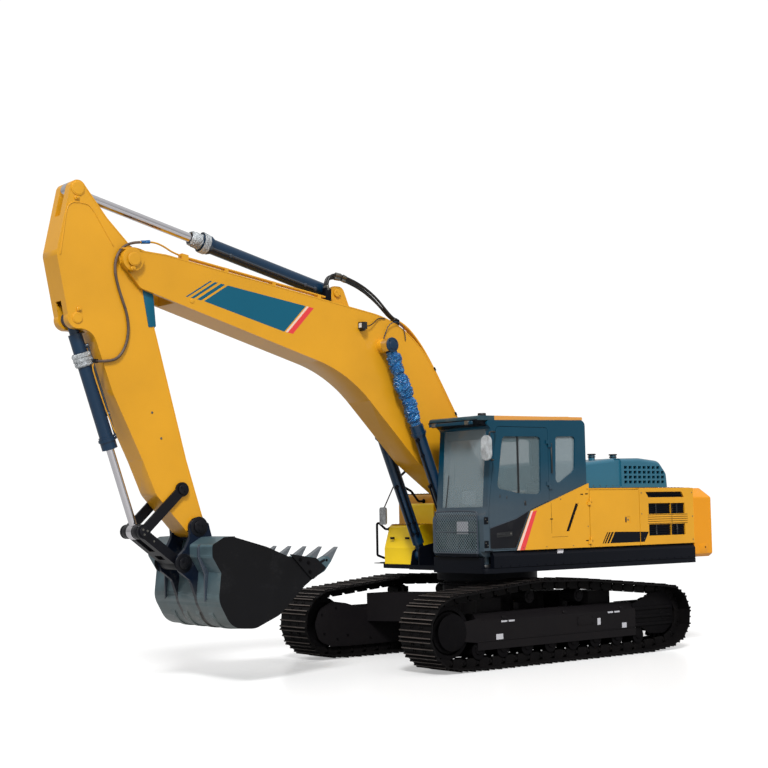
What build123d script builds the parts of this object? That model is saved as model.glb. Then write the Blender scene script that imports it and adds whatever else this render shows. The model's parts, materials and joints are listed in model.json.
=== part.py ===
"""Crawler excavator of the 33-tonne class, in millimetres.

+X points forward, +Y to the cab side and +Z up. The origin is on the ground, on the slewing axis.
Side profiles are drawn in the XZ plane and given as rows (x, z, corner radius).
Plan outlines are rows (x, y, corner radius). Hinge bores are PIN_FIT wider than their pins.
"""
import os
from math import acos, atan2, cos, hypot, pi, sin

from build123d import *

# --- driving dimensions -------------------------------------------------------------------------
PIN_FIT = 0.05            # radial clearance of a hinge pin in its bore
GAP = 6.0                 # side clearance between moving pieces
SEAT = 0.3                # clearance of a piece that is bolted on, at its seat

GAUGE = 2590.0            # between the track centre planes
SHOE_WIDTH = 600.0
SHOE_COUNT = 48
SHOE_PLATE = 14.0
GROUSER = 26.0
LINK_HEIGHT = 105.0
RAIL_INNER, RAIL_OUTER = 70.0, 115.0      # link rails, from the track's centre plane
SPROCKET = (-2010.0, 480.0)               # centres in the side view
IDLER = (1970.0, 490.0)
CARRIERS = ((570.0, 865.0), (-345.0, 838.0))
ROLLER_SPAN = 1600.0                      # first and last bottom roller from the slewing axis
ROLLER_COUNT = 8
SPROCKET_WRAP, IDLER_WRAP, CARRIER_WRAP, ROLLER_WRAP = 435.0, 472.0, 230.0, 235.0   # to grouser tips

FRAME_HALF = 155.0                        # track frame: half width, skirts, height and ends
SKIRT, SKIRT_DROP = 16.0, 105.0
FRAME_BOTTOM, FRAME_TOP = 345.0, 690.0
FRAME_X0, FRAME_X1 = -1420.0, 1520.0
FRAME_WALL = 30.0
FRAME_BEVEL = 90.0
SPROCKET_TEETH = 19
HUB_HALF = 60.0                           # of the sprocket, on its inner side

BEARING_RADIUS, BEARING_BORE = 700.0, 500.0
BEARING_SPLIT = 600.0                     # radius between the slewing bearing's two rings
DECK_BOTTOM, DECK_TOP = 1190.0, 1250.0
HOUSE_HALF = 1490.0                       # half width of the upper structure
HOUSE_REAR = -2700.0
CAB_BASE_FRONT = 1395.0                   # front edge of the deck on the cab side
TANK_DECK_FRONT = 860.0                   # front edge of the deck on the tank side
WELL_HALF, WELL_FRONT = 485.0, 1010.0     # recess in the deck's front for the boom cylinders
RAIL_TOP = 1463.0
PANEL_TOP = 2255.0
PANEL = 40.0                              # thickness of doors and side panels
KNUCKLE = 11.0                            # radius of a door hinge's knuckles
HINGE_OUT = KNUCKLE + 1                   # hinge axis, from the face of the door
RAIL_TUBE = 17.0                          # radius of the handrails
TAIL_RADIUS = 3430.0
WEIGHT_BOTTOM = 1265.0
LIFTING_HOLE, LIFTING_DEPTH, DRILL_POINT = 32.0, 120.0, 18.0
SEAM_1, SEAM_2 = -530.0, -1534.0          # joints between the left side panels
TANK_INNER = -420.0                       # inner face of the tanks
TANK_TOP = 2235.0
HOOD_HINGE = (-2315.0, 2275.0)
HOOD_LEFT, HOOD_RIGHT = 1385.0, -620.0
HOOD_WALL = 40.0
COVER_TOP = 2262.0                        # top of the deck covers round the hood

CAB = {"x0": -503.0, "x1": 1400.0, "y0": 490.0, "y1": 1470.0, "z0": 1400.0, "z1": 3165.0}
CAB_WALL = 55.0
CAB_FLOOR = 1485.0
PANE = 6.0                                # window glass
PANE_DEPTH = 24.0                         # from the cab's skin to the pane

BOOM_FOOT = (100.0, 1920.0)
BOOM_TIP = (5720.0, 4970.0)
BOOM_HALF = 230.0
FOOT_HALF = 270.0
FOOT_PLATE = 25.0
FOOT_PIN, TIP_PIN, BUCKET_PIN_R, SMALL_PIN = 55.0, 50.0, 45.0, 40.0   # pin radii
FORK_INNER, FORK_OUTER = 186.0, 285.0
ARM_HALF = 175.0
EYE_HALF = 60.0                           # half width of the single cylinder eyes
PLATE = 16.0                              # boom and arm plate

BUCKET_PIN = (4830.0, 1859.0)
BUCKET_LINK_PIN = (5045.0, 1436.0)
LINK_JOINT = (5550.0, 1815.0)
ARM_LINK_PIN = (5035.0, 2300.0)
BUCKET_HALF = 740.0
BUCKET_SIDE = 30.0                        # thickness of the bucket's side plates
EAR_INNER, EAR_PLATE = 186.0, 55.0
TOOTH_COUNT, TOOTH_PITCH = 5, 330.0

BOOM_CYL_BASE, BOOM_CYL_EYE, BOOM_CYL_Y = (850.0, 1385.0), (2000.0, 4165.0), 385.0
ARM_CYL_BASE, ARM_CYL_EYE = (2640.0, 4840.0), (6375.0, 5745.0)
BUCKET_CYL_BASE = (6380.0, 4252.0)

NODES = {}


# --- helpers ------------------------------------------------------------------------------------
def outline(rows, place):
    """Closed outline with rounded corners, each row (u, v) or (u, v, radius)."""
    points = [place(row[0], row[1]) for row in rows]
    corner = [row[2] if len(row) > 2 else 0 for row in rows]
    return make_face(FilletPolyline(*points, radius=corner, close=True).edges())


def side(rows, y0, y1, grow=0.0):
    """Side profile carried from y0 to y1, with its outline moved outward by grow."""
    face = outline(rows, lambda x, z: (x, y0, z))
    if grow:
        face = offset(face, amount=grow)
    return extrude(face, amount=y1 - y0, dir=(0, 1, 0))


def plan(rows, z0, z1):
    """Plan outline carried from z0 to z1."""
    return extrude(outline(rows, lambda x, y: (x, y, z0)), amount=z1 - z0, dir=(0, 0, 1))


def front(rows, x0, x1):
    """Front-view outline, rows (y, z), carried from x0 to x1."""
    return extrude(outline(rows, lambda y, z: (x0, y, z)), amount=x1 - x0, dir=(1, 0, 0))


def block(x0, x1, y0, y1, z0, z1):
    return Pos((x0 + x1) / 2, (y0 + y1) / 2, (z0 + z1) / 2) * Box(abs(x1 - x0), abs(y1 - y0), abs(z1 - z0))


def drum(centre, radius, y0, y1):
    """Cylinder across the machine, centre = (x, z)."""
    return Pos(centre[0], (y0 + y1) / 2, centre[1]) * Rot(90, 0, 0) * Cylinder(radius, abs(y1 - y0))


def bar(start, end, radius):
    """Round bar between two points in space."""
    axis = Vector(*end) - Vector(*start)
    align = (Align.CENTER, Align.CENTER, Align.MIN)
    return Plane(origin=start, z_dir=axis) * Cylinder(radius, axis.length, align=align)


def along(start, end, a, b, y):
    """Two points, a and b millimetres from start on the line to end, at the side distance y."""
    length = hypot(end[0] - start[0], end[1] - start[1])
    ux, uz = (end[0] - start[0]) / length, (end[1] - start[1]) / length
    return (start[0] + a * ux, y, start[1] + a * uz), (start[0] + b * ux, y, start[1] + b * uz)


def both(shape):
    """The shape and its mirror image on the other side."""
    return [shape, mirror(shape, about=Plane.XZ)]


def knuckles(x, y, heights, door_x, door_y, body_x, body_y):
    """Hinge knuckles on a vertical pin: the door's pieces and the body's, each on its own leaf."""
    door, body = [], []
    for z in heights:
        for pieces, z0, z1, reach_x, reach_y in ((door, z, z + 45, door_x, door_y),
                                                 (body, z - 45 - SEAT, z - SEAT, body_x, body_y)):
            leaf = block(x, reach_x, min(y - 4, reach_y), max(y + 4, reach_y), z0, z1)
            pieces.append(Pos(x, y, (z0 + z1) / 2) * Cylinder(KNUCKLE, z1 - z0) + leaf)
    return door, body


def at_side(s, a, b):
    """The span from a to b at the side s, +1 or -1, in rising order."""
    return sorted((s * a, s * b))


def tube(points, radius, bend):
    """Bent round tube through points in space."""
    path = FilletPolyline(*points, radius=bend) if len(points) > 2 else Line(*points)
    return sweep(Plane(origin=path @ 0, z_dir=path % 0) * Circle(radius), path=path)


def join(first, *others):
    for other in others:
        first = first + other
    return first


def node(name, *shapes):
    """Store one node: its solids, which don't touch."""
    solids = [s for shape in shapes for s in shape.solids()]
    NODES[name] = solids[0] if len(solids) == 1 else Compound(children=solids)


# --- tracks -------------------------------------------------------------------------------------
def wheel_row():
    """The wheels that a track runs round, clockwise from the sprocket: rows (x, z, radius to the grousers)."""
    return [(*SPROCKET, SPROCKET_WRAP), (*CARRIERS[1], CARRIER_WRAP), (*CARRIERS[0], CARRIER_WRAP),
            (*IDLER, IDLER_WRAP), (ROLLER_SPAN, ROLLER_WRAP, ROLLER_WRAP),
            (-ROLLER_SPAN, ROLLER_WRAP, ROLLER_WRAP)]


def tangents():
    """Direction, from each wheel's centre, of the point where the track leaves it for the next."""
    wheels = wheel_row()
    result = []
    for (x0, z0, r0), (x1, z1, r1) in zip(wheels, wheels[1:] + wheels[:1]):
        result.append(atan2(z1 - z0, x1 - x0) + acos((r0 - r1) / hypot(x1 - x0, z1 - z0)))
    return result


def belt_face(inset):
    """Flat face inside the loop that lies inset from the grouser tips."""
    wheels, leave = wheel_row(), tangents()
    edges = []
    for i, (x, z, r) in enumerate(wheels):
        come, go = leave[i - 1], leave[i]
        while go > come:
            go -= 2 * pi
        arc = [Vector(x + (r - inset) * cos(a), 0, z + (r - inset) * sin(a)) for a in (come, (come + go) / 2, go)]
        edges.append(ThreePointArc(*arc))
        nx, nz, nr = wheels[(i + 1) % len(wheels)]
        edges.append(Line(arc[2], (nx + (nr - inset) * cos(leave[i]), 0, nz + (nr - inset) * sin(leave[i]))))
    return make_face(edges)


def shoe_stations():
    """Equally spaced places (x, z) on the shoe plates' outer face, one where each shoe begins."""
    wheels, leave = wheel_row(), tangents()
    pieces, total = [], 0.0
    for i, (x, z, r) in enumerate(wheels):
        come, go = leave[i - 1], leave[i]
        while go > come:
            go -= 2 * pi
        r -= GROUSER
        nx, nz, nr = wheels[(i + 1) % len(wheels)]
        start = Vector(x + r * cos(go), z + r * sin(go))
        end = Vector(nx + (nr - GROUSER) * cos(go), nz + (nr - GROUSER) * sin(go))
        pieces.append(("arc", total, r * (come - go), (x, z, r, come)))
        total += r * (come - go)
        pieces.append(("line", total, (end - start).length, (start, end, go)))
        total += (end - start).length
    stations = []
    for k in range(SHOE_COUNT):
        s = total * k / SHOE_COUNT
        kind, begin, length, data = [p for p in pieces if p[1] <= s + 1e-6][-1]
        if kind == "arc":
            x, z, r, come = data
            a = come - (s - begin) / r
            stations.append((x + r * cos(a), z + r * sin(a)))
        else:
            start, end, _ = data
            p = start + (end - start) * ((s - begin) / length)
            stations.append((p.X, p.Y))
    return stations


# one shoe's profile: (share of the pitch, height above the plate)
SHOE_PROFILE = [(0.02, 0.0), (0.05, 1.0), (0.13, 1.0), (0.17, 0.0), (0.45, 0.0), (0.48, 0.8), (0.54, 0.8),
                (0.57, 0.0), (0.82, 0.0), (0.86, 0.8), (0.92, 0.8), (0.96, 0.0)]


def track(y):
    """Closed track: shoes with three grousers each, on two link rails."""
    stations = shoe_stations()
    points = []
    for (x0, z0), (x1, z1) in zip(stations, stations[1:] + stations[:1]):
        length = hypot(x1 - x0, z1 - z0)
        ux, uz = (x1 - x0) / length, (z1 - z0) / length
        for share, height in SHOE_PROFILE:
            points.append((x0 + ux * share * length - uz * height * GROUSER,
                           z0 + uz * share * length + ux * height * GROUSER))
    belt = make_face(Polyline(*[(x, 0, z) for x, z in points], close=True)) - belt_face(GROUSER + SHOE_PLATE)
    body = Pos(0, y - SHOE_WIDTH / 2, 0) * extrude(belt, amount=SHOE_WIDTH, dir=(0, 1, 0))
    rail = belt_face(GROUSER + SHOE_PLATE - 4) - belt_face(GROUSER + SHOE_PLATE + LINK_HEIGHT)
    for y0 in (RAIL_INNER, -RAIL_OUTER):
        body = body + Pos(0, y + y0, 0) * extrude(rail, amount=RAIL_OUTER - RAIL_INNER, dir=(0, 1, 0))
    return body


# radius of the surface that each wheel shows to the link rails
TRACK_DEPTH = GROUSER + SHOE_PLATE + LINK_HEIGHT
SPROCKET_RADIUS, IDLER_RADIUS = SPROCKET_WRAP - TRACK_DEPTH, IDLER_WRAP - TRACK_DEPTH
CARRIER_RADIUS, ROLLER_RADIUS = CARRIER_WRAP - TRACK_DEPTH, ROLLER_WRAP - TRACK_DEPTH
WHEEL_FIT = 0.5                           # gap between a wheel and the rails


def running_gear():
    y = GAUGE / 2
    node("left_track", track(y))
    node("right_track", track(-y))

    # sprockets: toothed discs between the rails, on a hub
    rows = []
    for k in range(SPROCKET_TEETH):
        for step, lift in ((-0.30, -22), (-0.13, 38), (0.13, 38), (0.30, -22)):
            angle = 2 * pi * (k + step) / SPROCKET_TEETH
            radius = SPROCKET_RADIUS + lift
            rows.append((SPROCKET[0] + radius * cos(angle), SPROCKET[1] + radius * sin(angle)))
    sprocket = side(rows, y - 36, y + 36) + drum(SPROCKET, 190, y - HUB_HALF, y + 118)
    node("drive_sprockets", *both(sprocket))
    final = drum(SPROCKET, 235, y - 230, y - HUB_HALF - SEAT) + drum(SPROCKET, 150, y - 330, y - 230)
    node("final_drives", *both(final))

    # idlers: discs with a dished face, a rim under each rail and a guide ring between them
    idler = drum(IDLER, IDLER_RADIUS - WHEEL_FIT, y - 118, y + 118)
    for y0, y1 in ((y + 50, y + 118), (y - 118, y - 50)):
        idler = idler - (drum(IDLER, IDLER_RADIUS - 50, y0, y1) - drum(IDLER, 80, y0, y1))
    idler = idler + drum(IDLER, IDLER_RADIUS + 20, y - RAIL_INNER + 8, y + RAIL_INNER - 8)
    node("front_idlers", *both(idler + drum(IDLER, 60, y - 138, y + 138)))

    # rollers: flanged ones below, plain ones above
    lower, upper = [], []
    reach = ROLLER_SPAN - 110
    for k in range(ROLLER_COUNT):
        centre = (2 * reach * k / (ROLLER_COUNT - 1) - reach, ROLLER_WRAP)
        roller = drum(centre, ROLLER_RADIUS - WHEEL_FIT, y - 132, y + 132)
        for y0, y1 in ((y + RAIL_OUTER + 2, y + 132), (y - 132, y - RAIL_OUTER - 2)):
            roller = roller + drum(centre, ROLLER_RADIUS - WHEEL_FIT + 18, y0, y1)
        lower += both(roller)
    for centre in CARRIERS:
        roller = drum(centre, CARRIER_RADIUS - WHEEL_FIT, y - 120, y + 120)
        upper += both(roller + drum(centre, 30, y - 165, y + 120))
    node("bottom_rollers", *lower)
    node("carrier_rollers", *upper)
    node("left_track_frame", track_frame(1))
    node("right_track_frame", track_frame(-1))


def track_frame(s):
    """Box beam at the side s: skirts for the rollers, idler fork, sprocket hanger and carrier posts."""
    c, half, foot = s * GAUGE / 2, FRAME_HALF, FRAME_BOTTOM - SKIRT_DROP
    right = [(half - SKIRT, FRAME_BOTTOM), (half - SKIRT, foot), (half, foot), (half, FRAME_TOP - FRAME_BEVEL),
             (half - FRAME_BEVEL, FRAME_TOP)]
    inside = half - FRAME_WALL
    right_inside = [(inside, FRAME_BOTTOM + FRAME_WALL), (inside, FRAME_TOP - FRAME_BEVEL - 20),
                    (inside - FRAME_BEVEL + 10, FRAME_TOP - FRAME_WALL)]
    frame = front(mirrored(right, c), FRAME_X0, FRAME_X1)
    frame = frame - front(mirrored(right_inside, c), FRAME_X0 - 1, FRAME_X1 - 40)
    for y0 in (half - SKIRT, -half):
        fork = side([(FRAME_X1 - 60, 330), (2030, 400, 20), (2030, 580, 20), (FRAME_X1 - 60, 640)],
                    c + y0, c + y0 + SKIRT)
        frame = frame + (fork - drum(IDLER, 61, c + y0 - 1, c + y0 + SKIRT + 1))
    plate = c - s * (half + 10)
    hanger = side([(FRAME_X0 + 60, 345), (FRAME_X0 - 420, 330, 60), (-2230, 380, 60), (-2230, 600, 60),
                   (FRAME_X0 - 420, 690, 60), (FRAME_X0 + 60, 690)], plate - 22, plate + 22)
    frame = frame + (hanger - drum(SPROCKET, 236, c - 300, c + 300))
    for x, z in CARRIERS:
        post = block(x - 45, x + 45, c - s * 200, c - s * 136, FRAME_TOP - 120, z + 60)
        frame = frame + (post - drum((x, z), 31, c - 300, c + 300))
    return frame


def mirrored(rows, c):
    """Outline made of rows (y, z), from the lowest up, and their mirror image, about the plane y = c."""
    return [(c + y, z) for y, z in rows] + [(c - y, z) for y, z in reversed(rows)]


def car_body():
    """Centre frame: ring drum on four hollow box legs that run out to the track frames."""
    reach = GAUGE / 2 - FRAME_HALF - SEAT
    quarter = [(1250, reach), (760, 300, 200), (760, -300, 200), (1250, -reach), (820, -reach), (520, -560, 200)]
    legs = quarter + [(-x, y, *r) for x, y, *r in reversed(quarter)]
    legs = [(820, reach), *legs, (-820, reach), (-520, 560, 200), (520, 560, 200)]
    body = plan(legs, 470, 860) - plan([(0.90 * x, 0.92 * y) for x, y, *r in legs], 500, 830)
    body = body + Pos(0, 0, 870) * Cylinder(620, 260) - Pos(0, 0, 760) * Cylinder(420, 700)
    node("car_body", body)
    lower = Cylinder(BEARING_SPLIT, 160) - Cylinder(BEARING_BORE, 160)
    node("slew_ring_inner", Pos(0, 0, 1080) * lower)
    upper = Cylinder(BEARING_RADIUS, 150 - SEAT) - Cylinder(BEARING_SPLIT + PIN_FIT, 150)
    node("slew_ring_outer", Pos(0, 0, 1115) * upper)


# --- upper structure ----------------------------------------------------------------------------
def upper_frame():
    """Deck plate with its side rails, the boom's foot plates and the cheeks of the boom cylinders."""
    deck = plan([(640, -HOUSE_HALF), (TANK_DECK_FRONT, -1240, 30), (TANK_DECK_FRONT, -WELL_HALF),
                 (WELL_FRONT, -WELL_HALF), (WELL_FRONT, WELL_HALF), (CAB_BASE_FRONT, WELL_HALF),
                 (CAB_BASE_FRONT, HOUSE_HALF, 60), (HOUSE_REAR, HOUSE_HALF), (HOUSE_REAR, -HOUSE_HALF)],
                DECK_BOTTOM, DECK_TOP)
    deck = deck - Pos(0, 0, DECK_TOP - 30) * Cylinder(400, 80)
    for s, rail_front in ((1, CAB_BASE_FRONT - 150), (-1, 620)):
        rail = front([(s * HOUSE_HALF, DECK_TOP + 7), (s * HOUSE_HALF, RAIL_TOP - 60),
                      (s * (HOUSE_HALF - 40), RAIL_TOP), (s * (HOUSE_HALF - 70), RAIL_TOP),
                      (s * (HOUSE_HALF - 70), DECK_TOP - 1), (s * (HOUSE_HALF - 20), DECK_TOP - 1)],
                     HOUSE_REAR, rail_front)
        foot_y = FOOT_HALF + GAP
        plate = side([(1000, DECK_TOP - 1), (1000, 1500, 60), (420, 1600, 250), (300, 2010, 160),
                      (100, 2120, 160), (-110, 2000, 120), (-560, 1420, 200), (-1100, 1310, 80), (-2650, 1300),
                      (-2650, DECK_TOP - 1)], *at_side(s, foot_y, foot_y + FOOT_PLATE))
        boss = drum(BOOM_FOOT, 110, *at_side(s, foot_y, foot_y + FOOT_PLATE + 30))
        cheek_y = BOOM_CYL_Y + EYE_HALF + GAP
        cheek = side([(740, DECK_TOP - 1), (760, 1440, 60), (BOOM_CYL_BASE[0], 1500, 60), (960, 1440, 60),
                      (1000, DECK_TOP - 1)], *at_side(s, cheek_y, cheek_y + 22))
        pin = drum(BOOM_CYL_BASE, BUCKET_PIN_R, *at_side(s, foot_y + 1, cheek_y + 34))
        deck = join(deck, rail, plate, boss, cheek, pin)
    cab_beam = block(CAB_BASE_FRONT - 65, CAB_BASE_FRONT - 1, CAB["y0"], HOUSE_HALF - 90, DECK_TOP - 1,
                     CAB["z0"] - 8)
    foot_pin = drum(BOOM_FOOT, FOOT_PIN, -FOOT_HALF - 60, FOOT_HALF + 60)
    node("upper_frame", join(deck, cab_beam, foot_pin))


def counterweight():
    """Cast weight: arc at the tail, bevelled rims, a notch at the front and two drilled lifting holes."""
    y = HOUSE_HALF - 5
    edge = (TAIL_RADIUS ** 2 - y ** 2) ** 0.5
    x1 = HOUSE_REAR - SEAT
    face = make_face([Line((x1, -y), (x1, y)), Line((x1, y), (-edge, y)),
                      ThreePointArc((-edge, y), (-TAIL_RADIUS, 0), (-edge, -y)), Line((-edge, -y), (x1, -y))])
    weight = extrude(Pos(0, 0, WEIGHT_BOTTOM) * face, amount=PANEL_TOP - WEIGHT_BOTTOM, dir=(0, 0, 1))
    for z, bevel in ((PANEL_TOP, 135), (WEIGHT_BOTTOM, 45)):
        rim = [e for e in weight.edges() if abs(e.center().Z - z) < 1 and e.center().X < HOUSE_REAR - 100]
        weight = chamfer(rim, bevel)
    weight = weight - block(HOUSE_REAR - 100, HOUSE_REAR + 1, -240, 240, 1200, 1500)
    for s in (1, -1):
        hole = Pos(0, 0, 1) * Cylinder(LIFTING_HOLE, LIFTING_DEPTH + 2)
        drill_point = Pos(0, 0, -(LIFTING_DEPTH + DRILL_POINT) / 2) * Cone(0.5, LIFTING_HOLE, DRILL_POINT)
        weight = weight - Pos(-3010, s * 620, PANEL_TOP - LIFTING_DEPTH / 2) * (hole + drill_point)
    node("counterweight", weight)


# air openings in the left rear panel: rows (top, bottom, front x, rear x, slant of the ends)
LOUVRES = ((2204, 2126, -1669, -2434, -55), (2044, 1890, -1722, -2195, 0), (2044, 1890, -2227, -2498, 0),
           (1750, 1592, -1722, -2195, 0), (1750, 1592, -2227, -2498, 0))
PANEL_EDGE = (558.0, 1975.0)              # corner where the cab-side panel's top line turns down
PANEL_RISE = 0.325                        # rise of that line per millimetre towards the rear
FOOT_X = 825.0                            # front end of the cab-side panel, at its foot


def side_panels():
    """Left side: cab-side panel, service door, louvred rear panel. Right side: tanks and pump door."""
    y1 = HOUSE_HALF
    z0 = RAIL_TOP + GAP
    door = side([(SEAM_1 - GAP, z0), (SEAM_1 - GAP, TANK_TOP), (SEAM_2 + GAP, TANK_TOP), (SEAM_2 + GAP, z0)],
                y1 - PANEL, y1)
    door = door - block(-1332, -1227, y1 - 6, y1 + 1, 1781, 1866)
    on_door, on_panel = knuckles(SEAM_1, y1 + HINGE_OUT, (1560, 2080), SEAM_1 - 45, y1 - 2, SEAM_1 + 45, y1 - 2)
    node("left_service_door", join(door, *on_door))

    rear_x = HOUSE_REAR + GAP
    rear = side([(SEAM_2 - GAP, z0), (SEAM_2 - GAP, PANEL_TOP), (rear_x, PANEL_TOP), (rear_x, z0)], y1 - PANEL, y1)
    for top, low, x_front, x_rear, slant in LOUVRES:
        rear = rear - side([(x_front, top), (x_rear, top), (x_rear + slant, low), (x_front + slant, low)],
                           y1 - 28, y1 + 1)
    bulkhead = block(rear_x, rear_x + 40, 760, HOUSE_HALF - 80, DECK_TOP + SEAT, 2238)
    flange = block(rear_x, rear_x + 40, HOUSE_HALF - 81, y1 - PANEL, z0, 2238)
    node("left_rear_panel", join(rear, bulkhead, flange))

    rear_top = PANEL_EDGE[1] + PANEL_RISE * (PANEL_EDGE[0] - SEAM_1 - GAP)
    cab_side = side([(SEAM_1 + GAP, z0), (FOOT_X, z0), (*PANEL_EDGE, 30), (SEAM_1 + GAP, rear_top)], y1 - 20 + SEAT, y1)
    grille = side([(-262, 2060), (-322, 2060), (-130, 1690), (-70, 1690)], y1 - 8, y1 + 1)
    node("cab_side_panel", join(cab_side - grille, *on_panel))

    fuel = side([(370, z0), (370, TANK_TOP, 60), (-560, TANK_TOP, 20), (-560, z0)], -y1, TANK_INNER)
    fuel_foot = block(-500, 300, -1400, -500, DECK_TOP + SEAT, z0 + 1)
    node("fuel_tank", fillet(fuel.edges().filter_by(Axis.X), 40) + fuel_foot)
    oil = side([(-572, z0), (-572, TANK_TOP, 20), (-1480, TANK_TOP, 20), (-1480, z0)], -y1, TANK_INNER)
    oil_foot = block(-1400, -600, -1400, -500, DECK_TOP + SEAT, z0 + 1)
    on_door, on_tank = knuckles(-1486, -y1 - HINGE_OUT, (1560, 2080), -1531, -y1 + 2, -1441, -y1 + 2)
    node("hydraulic_tank", join(fillet(oil.edges().filter_by(Axis.X), 40), *on_tank, oil_foot))
    pump = side([(-1492, z0), (-1492, TANK_TOP), (rear_x, TANK_TOP), (rear_x, z0)], -y1, -y1 + PANEL)
    node("right_pump_door", join(pump, *on_door))

    chest = side([(376, DECK_TOP + SEAT), (376, 2100, 40), (480, 2100, 40), (480, 1805), (740, 1805, 70),
                  (845, 1475, 40), (845, DECK_TOP + SEAT)], -1225, -560)
    node("tool_box", chamfer(chest.edges().filter_by(Axis.X).group_by(Axis.Y)[0].sort_by(Axis.Z)[-1], 30))


DOOR_CORNER = (PANEL_EDGE[0] + 9, PANEL_EDGE[1] + 11)
DOOR_FOOT_X = FOOT_X + 3
DOOR_ROWS = [(215, 3060, 40), (215, DOOR_CORNER[1] + PANEL_RISE * (DOOR_CORNER[0] - 215)), (*DOOR_CORNER, 20),
             (DOOR_FOOT_X, 1490, 30), (1296, 1490, 40), (1296, 2000), (1140, 3060, 60)]
DOOR_GLASS = [(345, 2945, 60), (365, 2185, 60), (725, 2195, 300), (1150, 2270, 60), (1035, 2935, 60)]
QUARTER_GLASS = [(65, 2950, 40), (-310, 2960, 60), (-285, 2500, 120), (88, 2290, 60)]
RIGHT_GLASS = [(1090, 2960, 60), (-400, 2960, 60), (-400, 2180, 60), (1180, 2180, 60)]
FRONT_GLASS = (90.0, 2030.0, 3030.0)      # set in from the cab's sides, bottom, top
REAR_GLASS = (120.0, 2380.0, 2960.0)


def cab():
    """Hollow cab on four rubber mounts, its windows, door, roof sheet, seat and controls."""
    x0, y0, y1, z0, z1 = CAB["x0"], CAB["y0"], CAB["y1"], CAB["z0"], CAB["z1"]
    roof_rear, roof_front = z1 + 15, z1 - 30
    shell = side([(x0, z0), (x0, roof_rear, 80), (1470, roof_front, 40), (1235, 3050, 60), (1330, 1960, 200),
                  (CAB["x1"], 1900, 60), (CAB["x1"], z0, 80)], y0, y1)
    shell = shell - side([(x0 + CAB_WALL, CAB_FLOOR), (x0 + CAB_WALL, z1 - 60, 60), (1180, z1 - 75, 60),
                          (1270, 1950, 200), (1345, 1880, 40), (1345, CAB_FLOOR)], y0 + CAB_WALL, y1 - CAB_WALL)
    shell = shell - side(DOOR_ROWS, y1 - CAB_WALL - 1, y1 + 1, GAP)
    shell = shell - side(QUARTER_GLASS, y1 - CAB_WALL - 1, y1 + 1)
    shell = shell - side(RIGHT_GLASS, y0 - 1, y0 + CAB_WALL + 1)
    inset, low, top = FRONT_GLASS
    shell = shell - block(1150, 1500, y0 + inset, y1 - inset, low, top)
    front_pane = side([(1236, top - 1), (1230, top - 1), (1297, low + 1), (1303, low + 1)],
                      y0 + inset + SEAT, y1 - inset - SEAT)
    inset, low, top = REAR_GLASS
    shell = shell - block(x0 - 1, x0 + CAB_WALL + 1, y0 + inset, y1 - inset, low, top)
    rear_pane = block(x0 + PANE_DEPTH, x0 + PANE_DEPTH + PANE, y0 + inset + SEAT, y1 - inset - SEAT,
                      low + SEAT, top - SEAT)
    shell = shell - block(x0 - 1, CAB["x1"] + 1, HOUSE_HALF - 80, y1 + 1, z0 - 100, RAIL_TOP + GAP)
    for x in (-380, 1240):
        for y in (y0 + 90, y1 - 160):
            shell = shell + Pos(x, y, (DECK_TOP + SEAT + z0 + 1) / 2) * Cylinder(55, z0 + 1 - DECK_TOP - SEAT)
    on_door, on_shell = knuckles(209, y1 + HINGE_OUT, (2300, 2850), 260, y1 - 2, 160, y1 - 2)
    node("cab_shell", join(shell, *on_shell))
    quarter_pane = side(QUARTER_GLASS, y1 - PANE_DEPTH - PANE, y1 - PANE_DEPTH, -SEAT)
    right_pane = side(RIGHT_GLASS, y0 + PANE_DEPTH, y0 + PANE_DEPTH + PANE, -SEAT)
    node("cab_glass", quarter_pane, right_pane, rear_pane, front_pane)

    leaf = side(DOOR_ROWS, y1 - CAB_WALL + 10, y1) - side(DOOR_GLASS, y1 - CAB_WALL, y1 + 1)
    node("cab_door", join(leaf, *on_door))
    node("cab_door_glass", side(DOOR_GLASS, y1 - PANE_DEPTH - PANE, y1 - PANE_DEPTH, -SEAT))

    # the roof sheet lies on the shell's sloping top
    fall = (roof_rear - roof_front) / (1470 - x0)
    rear_x, front_x = x0 + 40, 1440
    under = [roof_rear - fall * (x - x0) + SEAT for x in (rear_x, front_x)]
    sheet = side([(rear_x, under[0]), (rear_x, under[0] + 40, 15), (front_x, under[1] + 60, 40),
                  (front_x, under[1])], y0 + 12, y1 - 8)
    node("cab_roof", sheet)
    seat_and_controls((y0 + y1) / 2)


def seat_and_controls(mid):
    cushion = block(-60, 440, mid - 250, mid + 250, 1640, 1760)
    back = block(-150, -20, mid - 240, mid + 240, 1700, 2380)
    head_rest = block(-130, -40, mid - 130, mid + 130, 2370, 2600)
    pedestal = block(0, 380, mid - 150, mid + 150, CAB_FLOOR + SEAT, 1650)
    node("operator_seat", join(cushion, back, head_rest, pedestal))
    floor = CAB_FLOOR + SEAT
    pieces = []
    for s in (1, -1):
        y = mid + s * 330
        console = side([(-60, floor), (480, floor), (480, 1900, 60), (360, 1960, 60), (-60, 1880, 40)], y - 55, y + 55)
        stick = bar((420, y, 1900), (450, y, 2120), 14) + Pos(452, y, 2140) * Cylinder(26, 90)
        pieces.append(console + stick)
        y = mid + s * 130
        pedal = block(980, 1120, y - 55, y + 55, floor, CAB_FLOOR + 20)
        pieces.append(pedal + bar((1080, y, CAB_FLOOR + 6), (1150, y, 1640), 12))
    node("cab_controls", *pieces)


HOOD_ROWS = [(-520, 2268), (-520, 2612, 60), (-1150, 2672, 900), (-1700, 2682, 600), (-2110, 2645, 160),
             (-2268, 2470, 90), (-2290, 2268)]
HOOD_GROOVE = (-1300.0, -1170.0)          # joint between the smooth and the pierced part
PIERCED = {"x": -1390.0, "pitch_x": 97.0, "columns": 9, "z": 2345.0, "pitch_z": 68.0, "rows": 4}


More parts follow.
